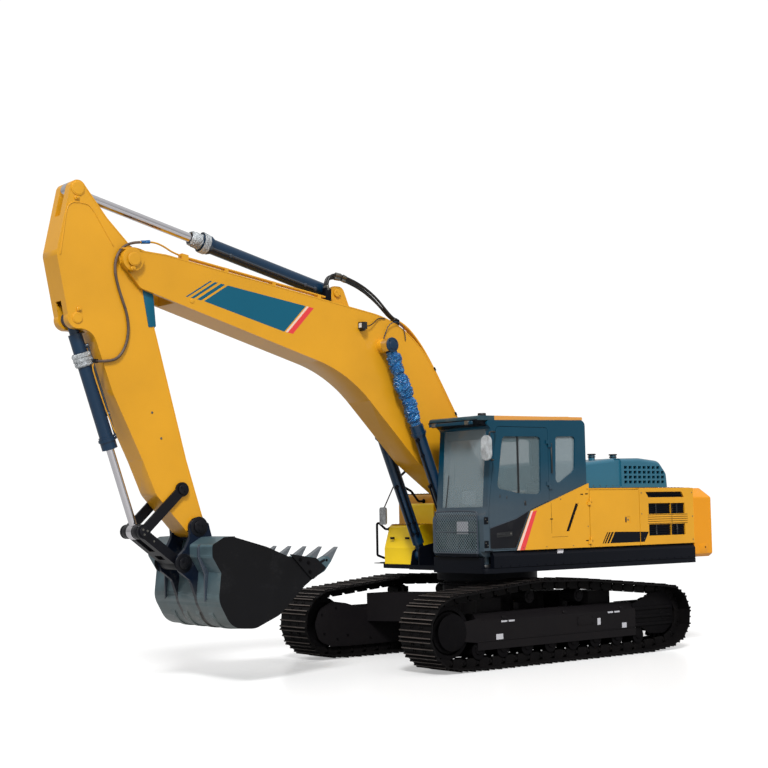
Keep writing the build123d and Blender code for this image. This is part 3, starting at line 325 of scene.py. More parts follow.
def shovel_steel():
    """Bucket paint: black outside faces of the side plates, blue-grey shell rubbed bright along its belly."""
    made, w, surface = shader("bucket_steel")
    shell = use(w, TONE, Color=rgb(80, 102, 110), Variation=0.22, Scale=2.4)["Color"]
    shell = w.mix(w.math("LESS_THAN", w.math("ABSOLUTE",
                                             w.math("SUBTRACT", w.math("ABSOLUTE", w.where("Y")), 0.2135)),
                                             0.029), shell,
                  rgb(14, 26, 44))
    low = w.ramp(w.where("Z"), 1.25, 0.75)
    shell = w.mix(w.math("MULTIPLY", low, 0.45), shell, rgb(122, 120, 112))
    black = use(w, TONE, Color=rgb(8, 8, 11), Variation=0.25, Scale=2.0)["Color"]
    side = w.ramp(w.math("ABSOLUTE", w.where("Y")), 0.7385, 0.7395)
    base = w.mix(side, shell, black)
    worn = use(w, WEAR, Color=base, Bare=w.mix(side, rgb(150, 148, 142), rgb(40, 40, 42)), Amount=0.35, Scale=3.0)
    dusty = use(w, DUST, Color=worn["Color"], Dust=w.mix(side, rgb(108, 100, 88), rgb(24, 24, 26)), Amount=0.18,
                Scale=3.0, Bottom=0.6,
                Top=2.0)
    w.link(dusty["Color"], surface.inputs["Base Color"])
    w.link(w.ramp(side, 0.0, 1.0, 0.30, 0.55), surface.inputs["Roughness"])
    w.link(w.ramp(side, 0.0, 1.0, 0.35, 0.0), surface.inputs["Metallic"])
    surface.inputs["Specular IOR Level"].default_value = 0.18
    bump(w, surface, use(w, GRAIN, Scale=18.0)["Height"], 0.16, 0.006)
    return made


AMBER = paint("amber_paint", rgb(208, 148, 26), coat=0.18, variation=0.07, dust=0.07, dust_colour=(160, 124, 66),
              shine=0.35)
ORANGE = paint("orange_paint", rgb(214, 138, 8), coat=0.15, dust=0.06, dust_colour=(150, 116, 70), shine=0.3)
YELLOW = paint("sun_yellow_paint", rgb(255, 214, 8), coat=0.15, dust=0.04, shine=0.3)
TEAL = paint("teal_paint", rgb(4, 52, 72), roughness=0.3, coat=0.08, dust=0.03, dust_colour=(90, 104, 110), shine=0.2)
HOOD_TEAL = paint("hood_teal_paint", rgb(30, 92, 114), roughness=0.24, coat=0.45, dust=0.05,
                  dust_colour=(120, 134, 140), shine=0.5)
NAVY = paint("navy_paint", rgb(4, 40, 66), roughness=0.3, coat=0.2, dust=0.04, dust_colour=(70, 80, 88), shine=0.35)
DECAL = paint("petrol_film", rgb(4, 84, 108), roughness=0.32, coat=0.1, dust=0.02, shine=0.25)
CHASSIS = paint("chassis_paint", rgb(17, 15, 17), roughness=0.5, coat=0.0, dust=0.12, dust_colour=(40, 36, 33),
                shine=0.1)
SLATE = paint("slate_paint", rgb(42, 52, 64), roughness=0.3, coat=0.4, dust=0.05)
BLACK = paint("black_paint", rgb(6, 9, 17), roughness=0.45, coat=0.0, dust=0.04, dust_colour=(40, 40, 42), shine=0.12)
RED = paint("red_stripe", rgb(214, 52, 56), roughness=0.3, dust=0.04)
PALE = paint("pale_stripe", rgb(226, 190, 178), roughness=0.3, dust=0.04)
LABEL = paint("blank_label", rgb(176, 176, 182), roughness=0.4, coat=0.05, dust=0.15)
TRACK_STEEL = steel("track_steel", rgb(13, 12, 13), metal=0.15, dust=0.14, dust_colour=(38, 32, 29), wear=0.15,
                    bare=(56, 52, 50), shine=0.08)
# grouser tips: worn bare steel, also lightened as a painted highlight along the shoe edges
GROUSER_EDGE = steel("grouser_edge", rgb(96, 88, 84), roughness=0.42, metal=0.7, dust=0.55,
                     dust_colour=(34, 29, 26), shine=0.2)
WHEEL_STEEL = steel("wheel_steel", rgb(9, 8, 10), metal=0.1, dust=0.10, dust_colour=(34, 30, 28), wear=0.08,
                    bare=(50, 48, 46), shine=0.06)
BUCKET_STEEL = shovel_steel()
TOOTH_STEEL = steel("tooth_steel", rgb(128, 134, 140), roughness=0.32, metal=0.85, dust=0.08, wear=0.2)
LINK_STEEL = paint("link_paint", rgb(9, 10, 16), roughness=0.4, coat=0.04, dust=0.06, dust_colour=(48, 48, 52),
                   wear=0.05, shine=0.2)
RING_STEEL = steel("ring_steel", rgb(20, 20, 24), dust=0.2, dust_colour=(50, 46, 42), shine=0.2)
MESH_STEEL = steel("mesh_steel", rgb(104, 116, 122), roughness=0.4, metal=0.6, dust=0.1, wear=0.0)
ENGINE_IRON = steel("engine_grey", rgb(40, 42, 44), dust=0.3)
BOLT_STEEL = steel("bolt_steel", rgb(112, 110, 104), roughness=0.4, metal=0.8, dust=0.2, wear=0.2)
CHROME = plain("chrome_rod", rgb(214, 212, 216), 0.10, 1.0, 300.0, 0.02, 0.03)
SEAT_CLOTH = cloth("seat_fabric", rgb(30, 31, 36), rgb(58, 60, 66))
PLASTIC = plain("dark_plastic", rgb(22, 23, 26), 0.5)
RUBBER = plain("hose_rubber", rgb(14, 14, 16), 0.45, 0.0, 200.0, 0.25)
WRAPPED = plain("wrapped_hose", rgb(84, 68, 58), 0.6, 0.0, 90.0, 0.8, 0.5)
SEAL = plain("window_seal", rgb(12, 14, 17), 0.4)
MIRROR = plain("mirror_face", rgb(214, 216, 216), 0.2)
LAMP = plain("lamp_body", rgb(24, 25, 28), 0.35)
LENS = plain("lamp_lens", rgb(206, 212, 214), 0.12)
GLASS = tinted_glass("dark_glass", rgb(132, 148, 154), 0.54)
DOOR_GLASS = tinted_glass("door_glass", rgb(116, 136, 142), 0.32)
# lower windscreen: tinted glass whose dark colour is the painted shade of the footwell behind it
DARK_GLASS = tinted_glass("lower_glass", rgb(16, 50, 56), 0.93)
BLUE_FILM = film("blue_film", rgb(4, 78, 138), rgb(90, 176, 220), 8.0, 0.25)
CLEAR_FILM = film("clear_film", rgb(190, 196, 200), rgb(250, 250, 250), 20.0)

FINISH = {"amber_paint": AMBER, "orange_paint": ORANGE, "teal_paint": TEAL, "black_paint": BLACK,
          "track_steel": WHEEL_STEEL, "bucket_steel": BUCKET_STEEL, "tooth_steel": TOOTH_STEEL, "chrome_rod": CHROME,
          "ring_steel": RING_STEEL, "dark_glass": GLASS, "seat_fabric": SEAT_CLOTH, "dark_plastic": PLASTIC,
          "engine_grey": ENGINE_IRON, "mirror_face": MIRROR, "lamp_body": LAMP, "hose_rubber": RUBBER}
for entry in frame["record"]["subparts"]:
    skin = NODES[entry["node"]].data.materials
    skin.clear()
    skin.append(FINISH[entry["material_slot"]])
for names, skin in ((("side_links", "bucket_link"), LINK_STEEL), (("tool_box",), YELLOW),
                    (("engine_hood",), HOOD_TEAL),
                    (("boom_cylinder_barrels", "arm_cylinder_barrel", "bucket_cylinder_barrel"), NAVY),
                    (("arm_pad",), DECAL), (("left_track_frame", "right_track_frame", "car_body"), CHASSIS),
                    (("cab_door_glass",), DOOR_GLASS)):
    for name in names:
        NODES[name].data.materials[0] = skin
EASED = {"boom": 0.005, "arm": 0.005, "counterweight": 0.012, "cab_shell": 0.004, "cab_door": 0.003,
         "left_service_door": 0.003,
         "left_rear_panel": 0.003, "cab_side_panel": 0.003, "right_pump_door": 0.003, "tool_box": 0.006,
         "upper_frame": 0.004,
         "left_track_frame": 0.005, "right_track_frame": 0.005, "bucket": 0.004, "side_links": 0.004,
         "bucket_link": 0.004,
         "cab_roof": 0.004, "car_body": 0.006}
for name, width in EASED.items():
    weld = NODES[name].modifiers.new("join", "WELD")
    weld.merge_threshold = 0.00002
    ease = NODES[name].modifiers.new("ease", "BEVEL")
    ease.width, ease.segments, ease.profile, ease.limit_method, ease.angle_limit = width, 2, 0.5, "ANGLE", math.radians(32)
    ease.use_clamp_overlap = True


# --- workshop -----------------------------------------------------------------------------------
def box(low, high, edge=0.003, segments=1):
    """Block between two corners with eased edges."""
    made = bmesh.new()
    bmesh.ops.create_cube(made, size=1.0)
    low, high = Vector(low), Vector(high)
    bmesh.ops.scale(made, vec=high - low, verts=made.verts)
    bmesh.ops.translate(made, vec=(low + high) / 2, verts=made.verts)
    if edge:
        bmesh.ops.bevel(made, geom=made.edges[:], offset=edge, offset_type="OFFSET", segments=segments, profile=0.5,
                        affect="EDGES", clamp_overlap=True, material=-1)
    return made


def rod(start, end, radius, end_radius=None, sides=24, edge=0.0):
    """Round bar, cone or hexagon between two points, with an eased rim."""
    start, end = Vector(start), Vector(end)
    turn = (end - start).to_track_quat("Z", "Y").to_matrix().to_4x4()
    made = bmesh.new()
    bmesh.ops.create_cone(made, cap_ends=True, segments=sides, radius1=radius,
                          radius2=radius if end_radius is None else end_radius, depth=(end - start).length,
                          matrix=Matrix.Translation((start + end) / 2) @ turn)
    if edge:
        rims = [e for e in made.edges if any(len(f.verts) == sides for f in e.link_faces)]
        bmesh.ops.bevel(made, geom=rims, offset=edge, offset_type="OFFSET", segments=2, profile=0.5, affect="EDGES",
                        clamp_overlap=True, material=-1)
    return made


def flat(rows, place):
    """One flat face from rows (u, v, corner radius), set in space by place(u, v)."""
    made = bmesh.new()
    corners = [made.verts.new(place(row[0], row[1])) for row in rows]
    made.faces.new(corners)
    for k, row in enumerate(rows):
        if len(row) < 3 or not row[2]:
            continue
        here = Vector(row[:2])
        before, after = Vector(rows[k - 1][:2]) - here, Vector(rows[(k + 1) % len(rows)][:2]) - here
        reach = row[2] / math.tan(before.angle(after) / 2)
        bmesh.ops.bevel(made, geom=[corners[k]], offset=reach, offset_type="OFFSET", segments=8, profile=0.5,
                        affect="VERTICES", clamp_overlap=False, material=-1)
    return made


def plate(rows, place, depth, edge=0.0):
    """Flat outline with a thickness along the vector depth."""
    made = flat(rows, place)
    grown = bmesh.ops.extrude_face_region(made, geom=made.faces[:])
    bmesh.ops.translate(made, vec=depth, verts=[v for v in grown["geom"] if isinstance(v, bmesh.types.BMVert)])
    bmesh.ops.recalc_face_normals(made, faces=made.faces)
    if edge:
        caps = [f for f in made.faces if abs(f.normal.dot(Vector(depth).normalized())) > 0.99]
        bmesh.ops.bevel(made, geom=list({e for f in caps for e in f.edges}), offset=edge, offset_type="OFFSET",
                        segments=2, profile=0.5, affect="EDGES", clamp_overlap=True, material=-1)
    return made


def frame_ring(rows, place, width, depth, outward=False):
    """Strip of that width along an outline, inside it or outside, with a thickness along the vector depth."""
    made = flat(rows, place)
    made.faces.ensure_lookup_table()
    middle = made.faces[0]
    bmesh.ops.inset_region(made, faces=[middle], thickness=width, use_even_offset=True, use_outset=outward)
    bmesh.ops.delete(made, geom=[middle], context="FACES_ONLY")
    grown = bmesh.ops.extrude_face_region(made, geom=made.faces[:])
    bmesh.ops.translate(made, vec=depth, verts=[v for v in grown["geom"] if isinstance(v, bmesh.types.BMVert)])
    bmesh.ops.recalc_face_normals(made, faces=made.faces)
    return made


def hose(points, radius, smooth=8, sides=3):
    """Round line on a smooth spline through the space between its points."""
    curve = bpy.data.curves.new("route", "CURVE")
    curve.dimensions = "3D"
    curve.bevel_depth = radius
    curve.bevel_resolution = sides
    curve.resolution_u = smooth
    curve.use_fill_caps = True
    spline = curve.splines.new("NURBS")
    spline.points.add(len(points) - 1)
    for point, co in zip(spline.points, points):
        point.co = (*co, 1.0)
    spline.order_u = 3
    spline.use_endpoint_u = True
    carrier = bpy.data.objects.new("route", curve)
    mesh = bpy.data.meshes.new_from_object(carrier)
    made = bmesh.new()
    made.from_mesh(mesh)
    bpy.data.objects.remove(carrier)
    bpy.data.curves.remove(curve)
    bpy.data.meshes.remove(mesh)
    bmesh.ops.remove_doubles(made, verts=made.verts, dist=1e-6)
    bmesh.ops.recalc_face_normals(made, faces=made.faces)
    return made


def bolt(seat, axis, size=0.012):
    """Hexagon head on a washer, standing on its seat."""
    seat, axis = Vector(seat), Vector(axis).normalized()
    made = rod(seat, seat + axis * size * 0.25, size * 1.25, sides=12)
    head = rod(seat + axis * size * 0.25, seat + axis * size * 1.0, size, size * 0.94, sides=6)
    return joined(made, head)


def joined(first, *others):
    """Several small meshes as one."""
    for other in others:
        carrier = bpy.data.meshes.new("part")
        other.to_mesh(carrier)
        other.free()
        first.from_mesh(carrier)
        bpy.data.meshes.remove(carrier)
    return first


def side_place(y):
    """Side view: u is X, v is Z."""
    return lambda u, v: (u, y, v)


def front_place(x):
    """Front view: u is Y, v is Z."""
    return lambda u, v: (x, u, v)


class Piece:
    """One piece in the making, with its finishes and the body that it rides on."""

    def __init__(self, name, body, *finishes):
        self.name, self.body, self.finishes = name, body, finishes
        self.work = bmesh.new()

    def add(self, made, finish=0, turn=None):
        """Take in a small mesh, placed by turn, with one of the piece's finishes."""
        if turn is not None:
            bmesh.ops.transform(made, matrix=turn, verts=made.verts)
        for face in made.faces:
            face.material_index = finish
            face.smooth = True
        joined(self.work, made)

    def repeat(self, made, turns):
        """Take in one copy of a small mesh, finishes set, at each placing."""
        for turn in turns:
            copy = made.copy()
            bmesh.ops.transform(copy, matrix=turn, verts=copy.verts)
            joined(self.work, copy)
        made.free()

    def mirrored(self):
        """Add the mirror image on the other side of the machine."""
        copy = self.work.copy()
        bmesh.ops.scale(copy, vec=(1, -1, 1), verts=copy.verts)
        bmesh.ops.reverse_faces(copy, faces=copy.faces)
        joined(self.work, copy)

    def done(self, ride=True):
        mesh = bpy.data.meshes.new(self.name)
        self.work.to_mesh(mesh)
        self.work.free()
        for finish in self.finishes:
            mesh.materials.append(finish)
        mesh.set_sharp_from_angle(angle=math.radians(38))
        obj = bpy.data.objects.new(self.name, mesh)
        bpy.context.scene.collection.objects.link(obj)
        if ride:
            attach(obj, self.body)
        return obj


# --- tracks -------------------------------------------------------------------------------------
TRACK_Y = 1.295
GROUSER, SHOE_PLATE, LINK_HEIGHT = 0.026, 0.014, 0.105
SHOES = 48
# wheels that a track runs round: centre in the side view and radius out to the grousers
WHEELS = [((-2.010, 0.480), 0.435), ((-0.345, 0.838), 0.230), ((0.570, 0.865), 0.230), ((1.970, 0.490), 0.472),
          ((1.600, 0.235), 0.235), ((-1.600, 0.235), 0.235)]
# one shoe along its pitch: (share of the pitch, height over the plate)
SHOE = [(0.015, -SHOE_PLATE), (0.015, 0.0), (0.055, GROUSER), (0.11, GROUSER), (0.16, 0.0), (0.45, 0.0),
        (0.48, 0.8 * GROUSER),
        (0.54, 0.8 * GROUSER), (0.57, 0.0), (0.82, 0.0), (0.86, 0.8 * GROUSER), (0.92, 0.8 * GROUSER),
        (0.955, 0.0), (0.985, 0.0),
        (0.985, -SHOE_PLATE)]


def shoe_corners():
    """Where each shoe begins on the plates' outer face, equally spaced round the belt."""
    runs, total = [], 0.0
    leave = []
    for ((x0, z0), r0), ((x1, z1), r1) in zip(WHEELS, WHEELS[1:] + WHEELS[:1]):
        leave.append(math.atan2(z1 - z0, x1 - x0) + math.acos((r0 - r1) / math.hypot(x1 - x0, z1 - z0)))
    for k, ((x, z), wrap) in enumerate(WHEELS):
        come, go, r = leave[k - 1], leave[k], wrap - GROUSER
        while go > come:
            go -= 2 * math.pi
        (nx, nz), next_wrap = WHEELS[(k + 1) % len(WHEELS)]
        start = Vector((x + r * math.cos(go), 0, z + r * math.sin(go)))
        end = Vector((nx + (next_wrap - GROUSER) * math.cos(go), 0, nz + (next_wrap - GROUSER) * math.sin(go)))
        runs.append((total, r * (come - go), lambda s, x=x, z=z, r=r, come=come: Vector(
            (x + r * math.cos(come - s / r), 0, z + r * math.sin(come - s / r)))))
        total += r * (come - go)
        runs.append((total, (end - start).length, lambda s, a=start, b=end: a + (b - a).normalized() * s))
        total += (end - start).length
    corners = []
    for k in range(SHOES):
        s = total * k / SHOES
        begin, _, point = [run for run in runs if run[0] <= s + 1e-9][-1]
        corners.append(point(s - begin))
    return corners, total / SHOES


def shoe_and_link(pitch):
    """One shoe with its bolts, the two link plates under it and the pin at its front end."""
    made = plate([(share * pitch, height) for share, height in SHOE], lambda u, v: (u, -0.3, v), (0, 0.6, 0))
    # faces near the grouser tips take the lighter steel: rubbed wear, and a painted highlight along the edges
    for face in made.faces:
        rubbed = face.calc_center_median().z > 0.75 * GROUSER
        face.material_index = 1 if rubbed else 0
    parts = []
    for x in (0.305, 0.695):
        for y in (-0.112, -0.073, 0.073, 0.112):
            parts.append(rod((x * pitch, y, 0.0), (x * pitch, y, 0.012), 0.0135, 0.0125, sides=6))
    middle, foot = -SHOE_PLATE - LINK_HEIGHT / 2, -SHOE_PLATE - LINK_HEIGHT
    for s in (1, -1):
        inner, half, outer = sorted((s * 0.070, s * 0.0925)), sorted((s * 0.0925, s * 0.115)), sorted((s * 0.070,
                s * 0.115))
        parts.append(box((0.16 * pitch, outer[0], foot), (0.84 * pitch, outer[1], -SHOE_PLATE), 0.0))
        parts.append(box((-0.02 * pitch, inner[0], foot + 0.016), (0.2 * pitch, inner[1], -SHOE_PLATE - 0.012),
                         0.010))
        parts.append(box((0.8 * pitch, half[0], foot + 0.016), (1.02 * pitch, half[1], -SHOE_PLATE - 0.012), 0.010))
    parts.append(rod((0, -0.07, middle), (0, 0.07, middle), 0.030, sides=14))
    parts.append(rod((0, -0.124, middle), (0, 0.124, middle), 0.021, sides=12))
    return joined(made, *parts)


def track(name, node, y):
    corners, pitch = shoe_corners()
    piece = Piece(name, "undercarriage", TRACK_STEEL, GROUSER_EDGE)
    turns = []
    for start, end in zip(corners, corners[1:] + corners[:1]):
        along = (end - start) / pitch
        out = Vector((-along.z, 0, along.x)).normalized()
        turns.append(Matrix(((along.x, 0, out.x, start.x), (0, 1, 0, y), (along.z, 0, out.z, start.z), (0, 0, 0, 1))))
    one = shoe_and_link(pitch)
    for face in one.faces:
        face.smooth = True
    piece.repeat(one, turns)
    obj = piece.done()
    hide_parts(node)
    return obj


track("left_track_chain", "left_track", TRACK_Y)
track("right_track_chain", "right_track", -TRACK_Y)


def ring_of_bolts(piece, centre, axis, radius, count, size, finish=0):
    """Bolts on a circle round the axis, standing along it."""
    centre, axis = Vector(centre), Vector(axis).normalized()
    across = axis.orthogonal().normalized()
    for k in range(count):
        turn = Matrix.Rotation(2 * math.pi * k / count, 3, axis)
        piece.add(bolt(centre + turn @ across * radius, axis, size), finish)


def running_gear():
    """Hub covers, roller caps and the plates and pads bolted to the track frames."""
    piece = Piece("track_fittings", "undercarriage", CHASSIS, BOLT_STEEL, LABEL, WHEEL_STEEL)
    y = TRACK_Y
    x, z = WHEELS[0][0]
    piece.add(rod((x, y + 0.117, z), (x, y + 0.137, z), 0.150, 0.140, sides=48, edge=0.004), 3)
    piece.add(rod((x, y + 0.137, z), (x, y + 0.152, z), 0.062, 0.056, sides=32, edge=0.003), 3)
    ring_of_bolts(piece, (x, y + 0.118, z), (0, 1, 0), 0.170, 16, 0.011, 3)
    ring_of_bolts(piece, (x, y + 0.137, z), (0, 1, 0), 0.110, 8, 0.009, 3)
    ring_of_bolts(piece, (x, y + 0.036, z), (0, 1, 0), 0.232, 24, 0.012, 3)
    x, z = WHEELS[3][0]
    piece.add(rod((x, y + 0.100, z), (x, y + 0.114, z), 0.262, 0.256, sides=64, edge=0.004), 3)
    piece.add(rod((x - 0.02, y + 0.1555, z), (x - 0.02, y + 0.170, z), 0.235, 0.228, sides=64, edge=0.004), 3)
    # guard over the drive, ribbed lengthwise
    guard = [(-1.380, 0.350), (-1.380, 0.670), (-1.560, 0.720, 0.10), (-1.720, 0.800, 0.15),
             (-2.020, 0.815, 0.20), (-2.205, 0.680, 0.12),
             (-2.215, 0.360, 0.12), (-2.020, 0.230, 0.15), (-1.700, 0.245, 0.10), (-1.560, 0.330, 0.10)]
    piece.add(plate(guard, side_place(y + 0.128), (0, 0.018, 0), 0.005), 3)
    for z in (0.375, 0.485, 0.595):
        piece.add(box((-2.17, y + 0.145, z - 0.022), (-1.42, y + 0.163, z + 0.022), 0.006), 3)
    for k in range(8):
        x = -1.49 + 2.98 * k / 7
        for side in (1, -1):
            face = y + side * 0.132
            piece.add(rod((x, face, 0.235), (x, face + side * 0.012, 0.235), 0.052, 0.046, sides=20, edge=0.002), 3)
            piece.add(box((x - 0.055, face - 0.010, 0.262), (x + 0.055, face + 0.010, 0.300), 0.004), 3)
    for x, z in (WHEELS[1][0], WHEELS[2][0]):
        piece.add(rod((x, y + 0.119, z), (x, y + 0.130, z), 0.050, 0.044, sides=24, edge=0.002), 3)
        ring_of_bolts(piece, (x, y + 0.119, z), (0, 1, 0), 0.066, 6, 0.007, 3)
    face = y + 0.155
    piece.add(plate([(-0.58, 0.44, 0.02), (-0.27, 0.44, 0.02), (-0.27, 0.56, 0.02), (-0.58, 0.56, 0.02)],
                    side_place(face), (0, 0.006, 0), 0.002), 0)
    for x in (-0.56, -0.29):
        for z in (0.458, 0.542):
            piece.add(bolt((x, face + 0.006, z), (0, 1, 0), 0.008), 0)
    piece.add(box((-1.40, face - 0.001, 0.342), (1.50, face + 0.007, 0.356), 0.003), 0)
    piece.add(box((-1.36, y - 0.05, 0.689), (1.46, y + 0.05, 0.694), 0.002), 0)
    for x in (1.06, 0.93, -0.92, -1.05):
        piece.add(box((x - 0.052, face - 0.002, 0.568), (x + 0.052, face + 0.004, 0.590), 0.002), 2)
    for x, z, w, h in ((1.145, 0.385, 0.060, 0.040), (-0.69, 0.470, 0.030, 0.045), (-1.19, 0.385, 0.045, 0.040)):
        piece.add(box((x - w, face - 0.002, z - h), (x + w, face + 0.0015, z + h), 0.0), 2)
    for x in (-1.15, -0.05, 1.05):
        piece.add(box((x - 0.035, face - 0.03, 0.61), (x + 0.035, face - 0.003, 0.65), 0.006), 0)
    # guard plate on the inner side, round the idler and along the rollers
    inner = [(-1.45, 0.150), (1.62, 0.150), (1.88, 0.158, 0.12), (2.10, 0.250, 0.16), (2.160, 0.470, 0.16),
             (2.080, 0.680, 0.16), (1.860, 0.775, 0.14),
             (1.620, 0.740, 0.10), (1.300, 0.640, 0.10), (-1.45, 0.640)]
    piece.add(plate(inner, side_place(y - 0.160), (0, 0.012, 0), 0.003), 0)
    for x, z in ((1.78, 0.26), (2.00, 0.34), (2.04, 0.60), (1.80, 0.68), (1.60, 0.30), (1.20, 0.24), (0.55, 0.24),
                 (-0.10, 0.24), (-0.75, 0.24)):
        piece.add(bolt((x, y - 0.160, z), (0, -1, 0), 0.014), 3)
    piece.mirrored()
    piece.done()


running_gear()


def slewing_bearing():
    piece = Piece("bearing_bolts", "undercarriage", RING_STEEL)
    piece.add(rod((0, 0, 0.978), (0, 0, 0.999), 0.665, sides=96, edge=0.003))
    for k in range(36):
        a = 2 * math.pi * k / 36
        piece.add(bolt((0.643 * math.cos(a), 0.643 * math.sin(a), 0.998), (0, 0, 1), 0.012))
    piece.done()


slewing_bearing()


# --- upper structure ----------------------------------------------------------------------------
SKIN = 1.490            # left face of the side panels
MARK = 0.0006           # how far a film or label stands proud


def strip(piece, rows, y, finish, thick=MARK, s=1):
    """Flat film on a side face: rows (x, z, radius), outward on the side s."""
    piece.add(plate(rows, side_place(s * y), (0, s * thick, 0)), finish)


def cab_side_trim():
    piece = Piece("cab_side_trim", "upper_structure", RED, PALE, BLACK, LABEL, BOLT_STEEL)
    strip(piece, [(0.5475, 1.957), (0.4640, 1.977), (0.700, 1.4705), (0.8060, 1.4705)], SKIN, 0)
    strip(piece, [(0.5700, 1.9690), (0.5330, 1.9775), (0.7890, 1.4705), (0.8370, 1.4705)], SKIN, 1, 0.0009)
    # dark slot, pressed in
    strip(piece, [(-0.264, 2.058, 0.02), (-0.320, 2.058, 0.02), (-0.128, 1.692, 0.02), (-0.072, 1.692, 0.02)],
          SKIN - 0.0078, 2, 0.001)
    for k in range(7):
        x, z = -0.288 + 0.0315 * k * 0.9, 2.03 - 0.06 * k * 0.9
        piece.add(box((x - 0.026, SKIN - 0.0075, z - 0.004), (x + 0.030, SKIN - 0.002, z + 0.004), 0.001), 2)
    # seam of the lower lid, its catches and the screws of the panel
    piece.add(box((0.198, SKIN - 0.001, 1.672), (0.2025, SKIN + MARK, 2.070), 0.0), 2)
    piece.add(box((-0.10, SKIN - 0.001, 1.622), (0.198, SKIN + 0.0004, 1.6255), 0.0), 2)
    for x, z in ((-0.385, 2.180), (-0.475, 2.185), (-0.470, 1.560), (0.202, 1.86)):
        piece.add(box((x - 0.026, SKIN, z - 0.007), (x + 0.026, SKIN + 0.003, z + 0.007), 0.002), 2)
    for x, z in ((0.72, 1.50), (0.30, 1.50), (-0.2, 1.50), (-0.49, 1.75), (-0.49, 2.25), (0.02, 2.12)):
        piece.add(bolt((x, SKIN, z), (0, 1, 0), 0.006), 4)
    # blank plate on the deck's rail
    slope = Vector((0, 0.040, -0.060)).normalized()
    out = Vector((0, 0.060, 0.040)).normalized()
    corner = Vector((0, 1.452, 1.460)) + out * 0.0004
    piece.add(plate([(-0.03, 0.0), (0.085, 0.0), (0.125, 0.062), (0.02, 0.062)],
                    lambda u, v: (u - 0.02, *(corner + slope * v).yz), out * 0.0008), 3)
    for k in range(24):
        x = 1.12 - 0.16 * k
        piece.add(bolt((x, 1.490, 1.275), (0, 1, 0), 0.008), 2)
    piece.done()


def service_door_trim():
    piece = Piece("service_door_trim", "left_service_door", BLACK, PLASTIC, AMBER, BOLT_STEEL)
    # dark band with slanted bars before it
    def lean(x, z):
        return (x + (1.666 - z) * 0.66, z)
    for front, rear in ((-0.865, -0.885), (-0.905, -0.935), (-0.955, -0.995)):
        strip(piece, [lean(front, 1.662), lean(rear, 1.662), lean(rear, 1.512), lean(front, 1.512)], SKIN, 0)
    strip(piece, [lean(-1.02, 1.664), (-1.5275, 1.654), (-1.5275, 1.512), lean(-1.02, 1.511)], SKIN, 0)
    # lock in its pressed well
    strip(piece, [(-1.228, 1.782, 0.01), (-1.228, 1.865, 0.01), (-1.331, 1.865, 0.01), (-1.331, 1.782, 0.01)],
          SKIN - 0.0059, 2, 0.0006)
    piece.add(box((-1.262, SKIN - 0.0055, 1.790), (-1.236, SKIN + 0.002, 1.858), 0.003), 1)
    piece.add(rod((-1.295, SKIN - 0.0055, 1.823), (-1.295, SKIN - 0.001, 1.823), 0.013, sides=20, edge=0.001), 3)
    # gutter and pressed frame
    piece.add(frame_ring([(-0.556, 1.49, 0.02), (-0.556, 2.215, 0.02), (-1.508, 2.215, 0.02), (-1.508, 1.49, 0.02)],
                         side_place(SKIN - 0.042), 0.030, (0, -0.012, 0)), 2)
    for x in (-0.75, -1.03, -1.31):
        piece.add(box((x - 0.02, SKIN - 0.056, 1.52), (x + 0.02, SKIN - 0.041, 2.19), 0.004), 2)
    piece.add(rod((-1.47, SKIN - 0.070, 1.60), (-1.47, SKIN - 0.070, 2.15), 0.006, sides=10), 3)
    piece.done()


